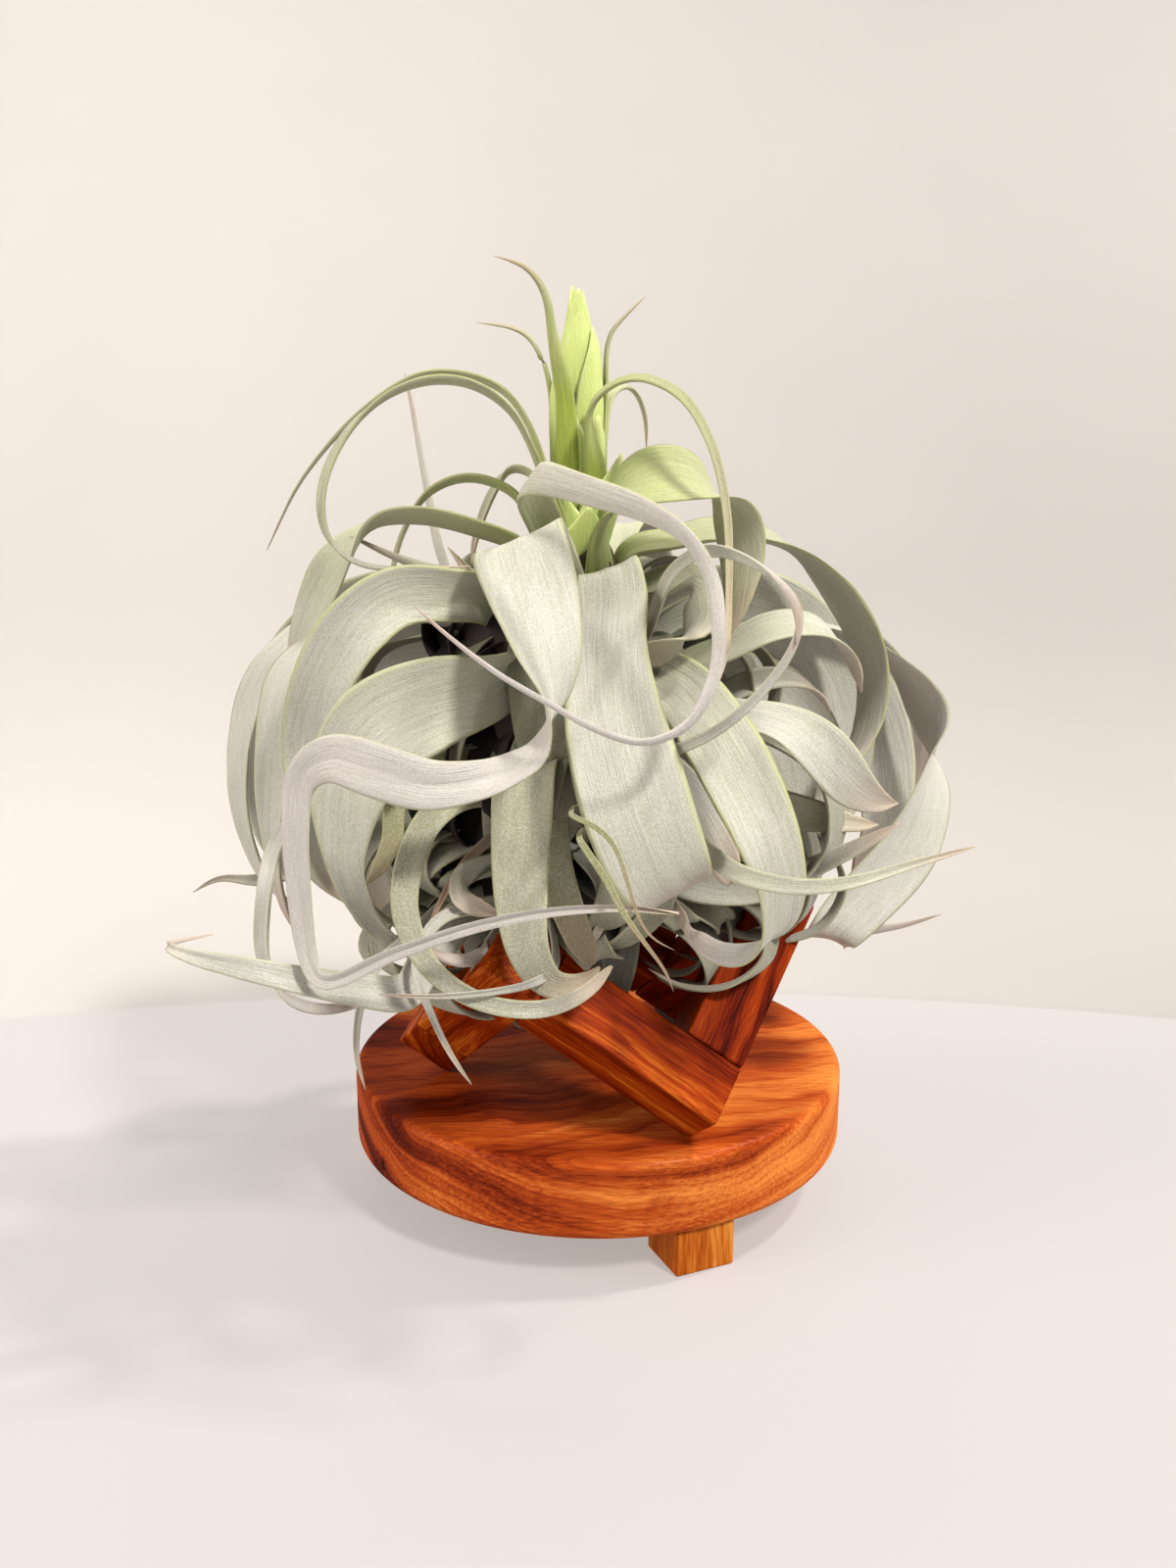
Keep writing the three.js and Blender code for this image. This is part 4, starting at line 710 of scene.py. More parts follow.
def scalyLeaf(name, palette, roughness=0.72, sheen=0.22):
    # Living strap leaf under a coat of flat silver scales: a mealy, velvet grey-green without gloss,
    # finely ribbed along its length, paler and pinker on its back, greener where the scales are thin.
    material = emptyMaterial(name)
    tree = material.node_tree
    colour = {key: fromHex(code) for key, code in palette.items()}
    (across, along, face), (lime, tan, brown), (edge, seed, rim), (olive, *_) = (
        addNode(tree, "ShaderNodeSeparateXYZ", {
            0: addNode(tree, "ShaderNodeAttribute", attribute_name=field).outputs["Vector"]}).outputs
        for field in ("bladePlace", "bladeShade", "bladeMark", "bladeTint"))
    local = addNode(tree, "ShaderNodeTexCoord").outputs["Object"]
    slowAlong = addNode(tree, "ShaderNodeMath", {0: along, 1: leafGrain["stretch"]}, operation="MULTIPLY")
    offset = addNode(tree, "ShaderNodeMath", {0: seed, 1: leafGrain["seed spread"]}, operation="MULTIPLY")
    lengthwise = addNode(tree, "ShaderNodeCombineXYZ", {0: across, 1: slowAlong, 2: offset})
    streaks, ribs, patches, scales = (
        addNode(tree, "ShaderNodeTexNoise", {"Vector": spot, "Scale": perUnit / leafGrain[key],
                                             "Detail": detail}).outputs[0]
        for key, spot, perUnit, detail in (("streak", lengthwise, 1, 3.0), ("rib", lengthwise, 1, 2.0),
                                           ("patch", local, 1 / mm, 3.0), ("scale", local, 1 / mm, 1.0)))

    both = addNode(tree, "ShaderNodeMath", {0: streaks, 1: patches}, operation="ADD")
    silverShare, bare, backShare, ribTone, scaleShare, scaled, rimBand = (
        addNode(tree, "ShaderNodeMapRange", dict(enumerate((source, *leafRanges[key]))))
        for key, source in (("silver", both), ("bare", scales), ("back", face), ("rib tone", ribs),
                            ("scale", scales), ("scaled", lime), ("rim", edge)))

    silverShare = addNode(tree, "ShaderNodeMath", {0: silverShare, 1: bare}, operation="SUBTRACT",
                          use_clamp=True)
    limeTone = addNode(tree, "ShaderNodeMix", {0: ribs, 6: colour["deepLime"], 7: colour["lime"]},
                       data_type="RGBA")
    limeSwing = addNode(tree, "ShaderNodeMath", {0: patches, 1: 0.7, 2: -0.35}, operation="MULTIPLY_ADD")
    limeShare = addNode(tree, "ShaderNodeMath", {0: limeSwing, 1: lime}, operation="ADD", use_clamp=True)
    limeShare = addNode(tree, "ShaderNodeMath", {0: limeShare, 1: lime}, operation="MINIMUM",
                        use_clamp=True)
    shown = colour["sage"]
    for share, layer in ((silverShare, colour["silver"]), (backShare, colour["lilac"]),
                         (limeShare, limeTone), (olive, colour["olive"])):
        shown = addNode(tree, "ShaderNodeMix", {0: share, 6: shown, 7: layer}, data_type="RGBA")
    shown = toned(tree, shown, ribTone)

    scaleShare = addNode(tree, "ShaderNodeMath", {0: scaleShare, 1: scaled}, operation="MULTIPLY")
    rimShare = addNode(tree, "ShaderNodeMath", {0: rimBand, 1: rim}, operation="MULTIPLY")
    tanShare = addNode(tree, "ShaderNodeMath", {0: tan, 1: 0.8}, operation="MULTIPLY", use_clamp=True)
    # the brown share mixes in near-black painted shade
    for share, key in ((scaleShare, "scale"), (rimShare, "rim"), (tanShare, "tan"), (brown, "brown")):
        shown = addNode(tree, "ShaderNodeMix", {0: share, 6: shown, 7: colour[key]}, data_type="RGBA")

    relief = addNode(tree, "ShaderNodeMath", {0: scales, 1: 0.35, 2: ribs}, operation="MULTIPLY_ADD")
    relief = addNode(tree, "ShaderNodeMath", {0: streaks, 1: 1.2, 2: relief}, operation="MULTIPLY_ADD")
    bump = addNode(tree, "ShaderNodeBump", {"Strength": 0.5, "Distance": leafGrain["relief"] * mm,
                                            "Height": relief})
    rough = addNode(tree, "ShaderNodeMapRange", {0: streaks, 1: 0.3, 2: 0.7, 3: roughness - 0.08,
                                                 4: roughness + 0.1})
    surface = addNode(tree, "ShaderNodeBsdfPrincipled", {
        "Base Color": shown, "Roughness": rough, "Normal": bump, "IOR": 1.42,
        "Sheen Weight": sheen, "Sheen Roughness": 0.45, "Sheen Tint": fromHex("#F4F2F0")})
    addNode(tree, "ShaderNodeOutputMaterial", {"Surface": surface})
    return material


silverLeaf = scalyLeaf("silverScaledLeaf", leafPalette)
youngLeaf = scalyLeaf("limeBractLeaf", {
    **leafPalette, "sage": "#C2E64C", "silver": "#E2F68A", "lilac": "#DEE8A8", "rim": "#D6DCA4",
    "scale": "#DCE6B0"}, 0.6)
print("finishes made")

# Per leaf: lime at the base and its reach in mm, tan at the tip, brown at the stem (painted shade, not a
# colour of the leaf), olive from and up to its own places in mm, and the crease, rim, edge ripple, cup and
# width of the blade.
leafLook = {
    "default": {"lime": None, "limeReach": 40, "tan": 1.0, "tanReach": 26, "brown": None, "brownReach": 26,
                "olive": 0.0, "oliveFrom": 0, "oliveReach": 400, "crease": 0, "rim": 0.55, "wave": 1.0,
                "cup": 1.0, "slim": 1.0, "slimFar": 1.0},
    "spike_leaf_arch_right": {"lime": 0.95, "limeReach": 80, "rim": 1.0, "olive": 0.4, "oliveFrom": 15,
                              "tan": 0.9, "tanReach": 110, "slim": 0.95, "slimFar": 0.66},
    "spike_leaf_left_hoop": {"lime": 0.85, "limeReach": 60, "rim": 1.0, "olive": 0.35, "oliveFrom": 15,
                             "slim": 0.9},
    "spike_leaf_upper_left": {"lime": 0.85, "limeReach": 70, "rim": 1.0, "olive": 0.3, "oliveFrom": 15},
    "spike_leaf_tall": {"lime": 0.95, "limeReach": 60, "olive": 0.5, "oliveFrom": 22},
    "leaf_front_loop": {"lime": 1.0, "limeReach": 30, "rim": 1.0, "wave": 0.5, "cup": 1.1, "slimFar": 0.74},
    "leaf_front_twist": {"lime": 0.9, "limeReach": 18, "crease": -1.6, "wave": 0.9},
    "leaf_front_long": {"lime": 0.45, "limeReach": 30, "crease": -1.2, "rim": 0.8, "wave": 1.2},
    "leaf_right_great_arch": {"lime": 0.9, "limeReach": 60, "rim": 1.0, "olive": 0.15},
    "leaf_crown_right": {"lime": 1.0, "limeReach": 85, "rim": 0.8, "slim": 1.15},
    "leaf_crown_left": {"lime": 1.0, "limeReach": 70, "rim": 0.8},
    "leaf_crown_left_low": {"lime": 1.0, "limeReach": 60},
    "leaf_right_hook": {"rim": 1.0, "lime": 0.35, "limeReach": 60},
    "leaf_small_yellow": {"lime": 0.5, "limeReach": 120, "tan": 0.6, "olive": 0.75},
    "leaf_lower_loop": {"olive": 0.8, "oliveReach": 130},
    "leaf_front_hanging": {"olive": 0.5},
    "leaf_front_second": {"olive": 0.7},
    "leaf_right_rising_tip": {"slim": 0.66, "rim": 0.8},
    "leaf_yellow_strand": {"lime": 0.6, "limeReach": 120, "rim": 1.0, "slim": 0.36, "cup": 0.7, "tan": 1.4,
                           "tanReach": 34, "olive": 0.85},
    "leaf_yellow_hanging": {"lime": 0.6, "limeReach": 120, "rim": 1.0, "slim": 0.4, "cup": 0.7, "tan": 1.6,
                            "tanReach": 34, "olive": 0.85},
    # painted shade: the leaves that fill the inside are painted near-black towards the stem
    "fill_left_1": {"brown": 0.97, "brownReach": 62},
    "fill_left_2": {"brown": 0.97, "brownReach": 56},
    "fill_left_3": {"brown": 0.95, "brownReach": 46},
    "fill_left_4": {"brown": 0.95, "brownReach": 60},
    "fill_right_1": {"brown": 0.8, "brownReach": 40},
    "fill_right_2": {"brown": 0.9, "brownReach": 46},
    "fill_right_3": {"brown": 0.9, "brownReach": 40},
    "leaf_right_yellow": {"lime": 0.45, "limeReach": 90},
    "leaf_right_long_thin": {"lime": 0.25, "limeReach": 200},
    "leaf_left_broad": {"lime": 0.3, "limeReach": 80, "wave": 0.8},
    "leaf_left_great_arch": {"cup": 1.7, "rim": 0.9},
    "tip_brown_thin": {"tan": 2.0, "tanReach": 60, "lime": 0},
}

bladeFoot = {  # the sheath below a blade: mm outwards and up, shares of the base's width, and cups
    "gap": 0.9,  # mm between the stem and the blade
    "on stem": ((-3.2, -20, 1.9, 3.0), (-0.8, -8, 1.6, 2.4), (0, 0, 1.25, 1.7)),
    "on spike": ((-1.6, -30, 2.2), (-0.7, -15, 2.1), (0, 0, 1.4)),
    "first cup": 1.1,
}


def fullRows(head, rows):  # adds the sheath that grips the stem, and a cup for every row
    cupFor = [bladeShape["cup"] + (bladeShape["thread cup"] - bladeShape["cup"])
              * float(smoothStep(bladeShape["thread width"], 2, row[6])) for row in rows]
    direction, height, width, carrier = head
    turn = math.radians(direction)
    out = np.array([math.cos(turn), math.sin(turn), 0])
    centre = np.array([*stem["centre"], 0.0])
    across = (-math.sin(turn), math.cos(turn), 0)
    grip = carrierRadius(height) + bladeFoot["gap"]
    sheath = []
    steps = bladeFoot["on stem"]
    if carrier == "spike":  # a long sheath that hugs the spike
        steps = [(outward, upward, wider, width * wider / (grip + outward))
                 for outward, upward, wider in bladeFoot["on spike"]]
    for outward, upward, wider, cup in steps:
        spot = centre + out * (grip + outward) + np.array([0, 0, height + upward])
        sheath.append((*spot, *across, width * wider, cup))
    full = [(*row, cup) for row, cup in zip(rows, cupFor)]
    full[0] = (*full[0][:7], max(full[0][7], bladeFoot["first cup"]))
    return sheath + full


ageAndShadeRule = {  # how a leaf's tones follow from where it is: heights and lengths in mm, shares of a tone
    "lime heights": (128, 182),  # older leaves below the first are grey, young ones above are lime
    "lime": 0.9,
    "lime on spike": 0.75,
    # painted shade: leaves whose base is below the second height turn near-black at the stem, for the shade
    # deep in the rosette
    "brown heights": (178, 150),
    "brown": 0.85,
    "brown hold": 0.4,  # share of its reach over which the brown stays full
    "tan": 0.75,
    "slimmer": (25, 60),  # where a blade turns to its far width
    "crease start": 20,
    "olive start": 30,
    "tip": 6,  # the last stretch, where a blade narrows to its point
    "tip width": 0.08,
}


def leafPath(name, head, rows):  # the path of a leaf, with the tones and sizes of its own look
    look = {**leafLook["default"], **leafLook.get(name, {})}
    path = evenPath(fullRows(head, rows))
    total = path["along"][-1]
    past = path["along"] - path["rowAlong"][2]  # mm since the blade left its sheath
    height, onSpike = head[1], head[3] == "spike"
    lime, brown = look["lime"], look["brown"]
    if lime is None:
        lime = (ageAndShadeRule["lime on spike"] if onSpike
                else float(smoothStep(*ageAndShadeRule["lime heights"], height)) * ageAndShadeRule["lime"])
    if brown is None:
        brown = 0.0 if onSpike else float(smoothStep(*ageAndShadeRule["brown heights"], height)) * ageAndShadeRule["brown"]
    fade = np.exp(-np.maximum(past, 0) / look["limeReach"])
    tan = look["tan"] * smoothStep(total - look["tanReach"], total, path["along"]) * ageAndShadeRule["tan"]
    # painted shade near the stem, full over the hold and gone by the brown reach
    hold = look["brownReach"] * ageAndShadeRule["brown hold"]
    brownHere = brown * (1 - smoothStep(hold, look["brownReach"], past))
    path["shade"] = np.column_stack([lime * fade, tan, brownHere])
    slim = look["slim"] + (look["slimFar"] - 1) * smoothStep(*ageAndShadeRule["slimmer"], past)
    toTip = (total - path["along"] + 0.5) / ageAndShadeRule["tip"]
    path["width"] = slim * path["width"] * np.sqrt(np.clip(toTip, ageAndShadeRule["tip width"], 1))
    path["cup"] = path["cup"] * look["cup"]
    path["crease"] = look["crease"] * smoothStep(0, ageAndShadeRule["crease start"], past)
    path["rim"] = np.full(len(past), look["rim"])
    olive = look["olive"] * np.exp(-(np.maximum(past, 0) / look["oliveReach"]) ** 2)
    if look["oliveFrom"]:
        olive = olive * smoothStep(0, ageAndShadeRule["olive start"], past - look["oliveFrom"])
    path["olive"] = olive
    path["wave"] = look["wave"]
    path["seed"] = chance.random()
    return path


chance = random.Random(7)
for name, (head, rows) in {**leafRows, **thinLeafRows}.items():
    blade = bladeMesh(leafPath(name, head, rows), silverLeaf)
    nodes = [name] if name in leafRows else []
    addPiece(name + "_blade", blade, slotOf.get(name, "leaf"), *nodes)
print("leaves made", len(leafRows) + len(thinLeafRows))

backLeaves = {  # arching leaves behind the heart: direction, base height, reach, crest, tip, width and turn
    "leaf_back_1": (54, 142, 62, 158, 84, 20, -12),
    "leaf_back_2": (76, 172, 64, 198, 134, 20, -14),
    "leaf_back_3": (94, 138, 80, 158, 78, 22, -8),
    "leaf_back_4": (114, 164, 74, 188, 112, 21, 8),
    "leaf_back_5": (134, 146, 78, 170, 106, 20, -12),
}
archShape = [  # share of the reach, share of the way from tip to crest, share of the width and of the turn
    (0.32, 0.85, 0.9, 0), (0.62, 1, 1, 0.1), (0.92, 0.8, 1, 0.3), (1, 0.42, 0.85, 0.5),
    (0.9, 0.1, 0.6, 0.75), (0.66, 0, 0.3, 0.9), (0.45, 0.12, 0.1, 1),
]


def archRows(direction, reach, crest, tip, width, turn):  # a leaf that arches out, down and back in
    rows = []
    for out, up, wide, turned in archShape:
        angle = math.radians(direction + turn * turned)
        radius = stem["radius"] + out * reach
        rows.append((stem["centre"][0] + radius * math.cos(angle),
                     stem["centre"][1] + radius * math.sin(angle),
                     tip + (crest - tip) * up, -math.sin(angle), math.cos(angle), 0, width * wide))
    return rows


for name, (direction, height, reach, crest, tip, width, turn) in backLeaves.items():
    rows = archRows(direction, reach, crest, tip, width, turn)
    path = leafPath(name, (direction, height, width * 0.6, "stem"), rows)
    addPiece(name + "_blade", bladeMesh(path, silverLeaf), slotOf[name], name)

goldenTurn = 137.508  # degrees from one leaf to the next one above it
goldenShare = 0.618


def upTheStem(cluster):  # number and height of each leaf of a cluster, and its share of the way up
    low, high = cluster["heights"]
    for number in range(cluster["count"]):
        share = (number + 0.5) / cluster["count"]
        yield number, low + share * (high - low), share


def longestReach(cluster, direction):  # leaves stay short within the free front
    fromFront = abs((direction + 90 + 180) % 360 - 180)
    return cluster["reach"][1] if fromFront > cluster["free front"] else cluster["front reach"]


def shadedBlade(cluster, head, rows, finish):  # a leaf painted darker the nearer it is to the stem, as painted shade
    path = leafPath("default", head, rows)
    start, fade, least = cluster["brown"]
    brown = np.clip(start - fade * path["along"], least, 1)
    path["shade"][:, 2] = np.maximum(cluster["own brown"] * path["shade"][:, 2], brown)
    path["olive"] = np.full(len(path["along"]), cluster["olive"])
    return bladeMesh(path, finish)


heart = {  # leaves that fill the inside of the rosette, by the golden angle, darkened towards the stem with painted shade
    "count": 64,
    "first": 20,  # degrees
    "heights": (88, 170),
    "reach": (26, 74),
    "free front": 62,  # degrees to each side of the front where the leaves stay short
    "front reach": 34,
    "rise": (2, 20),
    "fall": (16, 50),
    "width": (13, 22),
    "foot": 0.8,  # share of the width
    "turn": (-30, 30),
    "brown": (0.95, 0.008, 0.3),  # painted shade: at the stem, lost with each mm along the leaf, and left at the tip
    "own brown": 1,
    # olive here darkens the leaves as painted shade
    "olive": 0.4,
}

innerMeshes = []
for number, height, share in upTheStem(heart):
    direction = heart["first"] + number * goldenTurn
    reach = chance.uniform(heart["reach"][0], longestReach(heart, direction))
    reach *= 0.8 + 0.2 * math.sin(math.pi * share)
    crest = height + chance.uniform(*heart["rise"])
    tip = crest - chance.uniform(*heart["fall"])
    width = chance.uniform(*heart["width"])
    rows = archRows(direction, reach, crest, tip, width, chance.uniform(*heart["turn"]))
    head = (direction, height, width * heart["foot"], "stem")
    innerMeshes.append(shadedBlade(heart, head, rows, silverLeaf))
half = heart["count"] // 2
addJoined("rosette_inner_leaves_low", innerMeshes[:half], "leaf")
addJoined("rosette_inner_leaves_high", innerMeshes[half:], "leaf")

lowCurls = {  # narrow leaves that curl low round the heart and close the view through it, darkened with painted shade
    "count": 44,
    "first": 75,
    "heights": (84, 116),
    "reach": (34, 60),
    "free front": 50,
    "front reach": 44,
    "rise": (-4, 12),
    "fall": (6, 26),
    "lowest": 70,
    "width": (8, 15),
    "foot": 8,  # mm
    "turn": (-45, 45),
    # painted shade: brown at the stem fading along the leaf, and olive all along
    "brown": (0.85, 0.01, 0.22),
    "own brown": 0,
    "olive": 0.5,
}

curlMeshes = []
for number, height, _ in upTheStem(lowCurls):
    direction = number * goldenTurn + lowCurls["first"]
    longest = longestReach(lowCurls, direction)
    crest = height + chance.uniform(*lowCurls["rise"])
    rows = archRows(direction, chance.uniform(lowCurls["reach"][0], longest), crest,
                    max(crest - chance.uniform(*lowCurls["fall"]), lowCurls["lowest"]),
                    chance.uniform(*lowCurls["width"]), chance.uniform(*lowCurls["turn"]))
    head = (direction, height, lowCurls["foot"], "stem")
    curlMeshes.append(shadedBlade(lowCurls, head, rows, silverLeaf))
addJoined("rosette_low_curls", curlMeshes, "leaf")

blackShadeLeaves = {  # broad near-black leaves deep in the left side of the rosette: painted shade, dark leaves set where the heart lies in deep shadow
    "count": 26,
    "directions": (100, 250),
    "heights": (108, 176),
    "reach": (20, 35),
    "rise": (4, 12),
    "fall": (12, 34),
    "width": (20, 28),
    "foot": 20,
    "turn": (-20, 20),
    "brown": (0.5, 0, 0.5),
    "own brown": 0,
    "olive": 0,
}

# near-black finish without sheen: painted shade
blackShadeFinish = scalyLeaf("paintedShadeInnerLeaf", {
    **leafPalette, "sage": "#1D1518", "silver": "#2C2226", "lilac": "#241A20", "scale": "#3A3034",
    "rim": "#33272A", "lime": "#2A2420", "deepLime": "#1D1518"}, 0.85, 0.0)
blackShadeMeshes = []
for number, height, _ in upTheStem(blackShadeLeaves):
    first, last = blackShadeLeaves["directions"]
    direction = first + (number * goldenShare % 1) * (last - first)
    crest = height + chance.uniform(*blackShadeLeaves["rise"])
    rows = archRows(direction, chance.uniform(*blackShadeLeaves["reach"]), crest,
                    crest - chance.uniform(*blackShadeLeaves["fall"]),
                    chance.uniform(*blackShadeLeaves["width"]), chance.uniform(*blackShadeLeaves["turn"]))
    head = (direction, height, blackShadeLeaves["foot"], "stem")
    blackShadeMeshes.append(shadedBlade(blackShadeLeaves, head, rows, blackShadeFinish))
addJoined("rosette_painted_shade_leaves", blackShadeMeshes, "stem")

sheathPack = {  # leaf bases that grip the stem, painted dark brown for the shade round it
    "count": 30,
    "heights": (78, 176),
    "first": 40,  # degrees
    "length": 26,
    "below": 0.15,  # share of the length that is under its foot
    "width": 24,
    "radius": 4.5,
    "swell": 3.5,
    "flare": 4.5,
    "lime": 0.12,
    "brown": (0.55, 0.3),  # painted shade: of the lowest, and what the highest has less, so that they are darker towards the bottom
}

shadeDarkSheath = scalyLeaf("shadeDarkSheathBase", {
    **leafPalette, "sage": "#4A3A30", "silver": "#6B5A4A", "lilac": "#3A2A26", "scale": "#8A7A68",
    "rim": "#7A6450"}, 0.8)
sheaths = []
for number in range(sheathPack["count"]):
    share = number / (sheathPack["count"] - 1)
    turn = math.radians(number * goldenTurn + sheathPack["first"])
    out = np.array([math.cos(turn), math.sin(turn), 0])
    foot = sheathPack["heights"][0] + share * (sheathPack["heights"][1] - sheathPack["heights"][0])
    rows = []
    for step in np.linspace(0, 1, 6):
        spot = np.array([*stem["centre"], foot + (step - sheathPack["below"]) * sheathPack["length"]])
        radius = sheathPack["radius"] + sheathPack["swell"] * min(1, step * 2)
        radius += sheathPack["flare"] * step ** 2
        wide = sheathPack["width"] * (1 - 0.9 * step ** 4)
        wide *= 0.75 + 0.5 * math.sin(math.pi * min(1, step * 0.9))
        rows.append((*(spot + out * radius), -math.sin(turn), math.cos(turn), 0, wide, wide / (radius + 2)))
    path = evenPath(rows)
    count = len(path["along"])
    brown = sheathPack["brown"][0] - sheathPack["brown"][1] * share
    path["shade"] = np.column_stack([np.full(count, sheathPack["lime"] * share), np.zeros(count),
                                     np.full(count, brown)])
    path.update(crease=np.zeros(count), rim=np.full(count, 0.4), wave=0.5, seed=chance.random())
    sheaths.append(bladeMesh(path, shadeDarkSheath))
addJoined("stem_leaf_bases", sheaths, "stem", "stem")

bracts = {  # overlapping bracts, from the lowest to the ones at the tip
    "directions": [150, -75, 20, -130, -28, 200, 62, -40, -146, 30, -98, 128, -30, 170, 84, -78, 150, 10],
    "feet": [168, 166, 170, 172, 176, 182, 186, 188, 192, 202, 205, 212, 199, 224, 228, 236, 236, 239],
    "lengths": [44, 40, 46, 42, 44, 40, 42, 42, 50, 40, 55, 42, 54, 36, 34, 27, 28, 24],
    "widths": [26, 26, 26, 24, 24, 21, 21, 21, 25, 19, 22, 19, 21, 16, 15, 14, 13, 12],
    "lean": [8, 6, 9, 5, 7, 0.5, 0.5, 0.4, 0.6, 0.3, 0, 0, 0.8, 0, 0, 0, 0, 0],
    "hug": [0.86, 0.86, 0.86, 0.86, 0.86, 0.86, 0.88, 0.92, 0.94, 0.84, 0.76, 0.76, 0.92, 0.74, 0.74, 0.78,
            0.72, 0.72],  # share of the spike's own radius
    "last height": 261,  # above it the spike's outline no longer narrows a bract
    "least radius": 0.7,
    "least width": 0.8,
    "tightest cup": 3.6,
    "tuck": 1.1,  # mm that the foot is under the bracts below
}

bractMeshes = []
for direction, foot, length, width, lean, hug in zip(*(bracts[key] for key in (
        "directions", "feet", "lengths", "widths", "lean", "hug"))):
    turn = math.radians(direction)
    out = np.array([math.cos(turn), math.sin(turn), 0])
    rows = []
    for step in np.linspace(0, 1, 9):
        height = foot + step * length
        radius = hug * spikeRadius(min(height, bracts["last height"]))
        radius = radius * (0.8 + 0.2 * smoothStep(0, 0.5, step))
        radius += lean * step ** 2 - bracts["tuck"] * (1 - step)
        radius = max(float(radius), bracts["least radius"])
        wide = width * (1 - 0.97 * step ** 3.4) * (0.85 + 0.15 * math.sin(math.pi * step))
        wide = max(wide, bracts["least width"])
        cup = min(wide / (radius + 0.8), bracts["tightest cup"])
        rows.append((stem["centre"][0] + out[0] * radius, stem["centre"][1] + out[1] * radius, height,
                     -math.sin(turn), math.cos(turn), 0, wide, cup))
    path = evenPath(rows)
    count = len(path["along"])
    share = path["along"] / path["along"][-1]
    path["shade"] = np.column_stack([0.75 - 0.45 * share, 0.25 * smoothStep(0.86, 1, share),
                                     np.zeros(count)])
    path.update(crease=np.zeros(count), rim=np.full(count, 0.9), wave=0.25, seed=chance.random())
    bractMeshes.append(bladeMesh(path, youngLeaf))
addJoined("flower_spike_bracts", bractMeshes, slotOf["flower_spike"], "flower_spike")
print("heart and spike made")

hardwoodLook = {
    "dark": "#330802",
    "deep": "#631803",
    "middle": "#8E3208",
    "light": "#C86A1C",
    "stops": (0.46, 0.58, 0.74, 0.98),  # how the tones spread from the darkest growth to the lightest
    "ring spacing": 3.2,
    "ring wander": (0.012, 0.05, 0.05),  # how fast the rings wander along and across the grain
    "wander depth": 16,  # mm
    "slow along": 0.012,
    "fibre width": 0.675,
    "fibre stretch": 0.07,
    "pore spacing": 0.3125,
    "patch size": 45.45,
    "late growth": 4,  # how suddenly each ring darkens at its end
    "painted light drift": 0.0,  # painted light and shade: how much lighter each further mm along the grain is
    "knot": None,  # place and half sizes in mm
    "knot tone": "#1E0A05",
    "knot edge": (0.3, 1.0, 0.92, 0.0),  # distance from and to in half sizes, share from and to
    "pore edge": (0.6, 0.72, 0.0, 0.5),
    "roughness": (0.3, 0.7, 0.54, 0.4),  # of the ring tones, from and to
    "relief": 0.3,
}


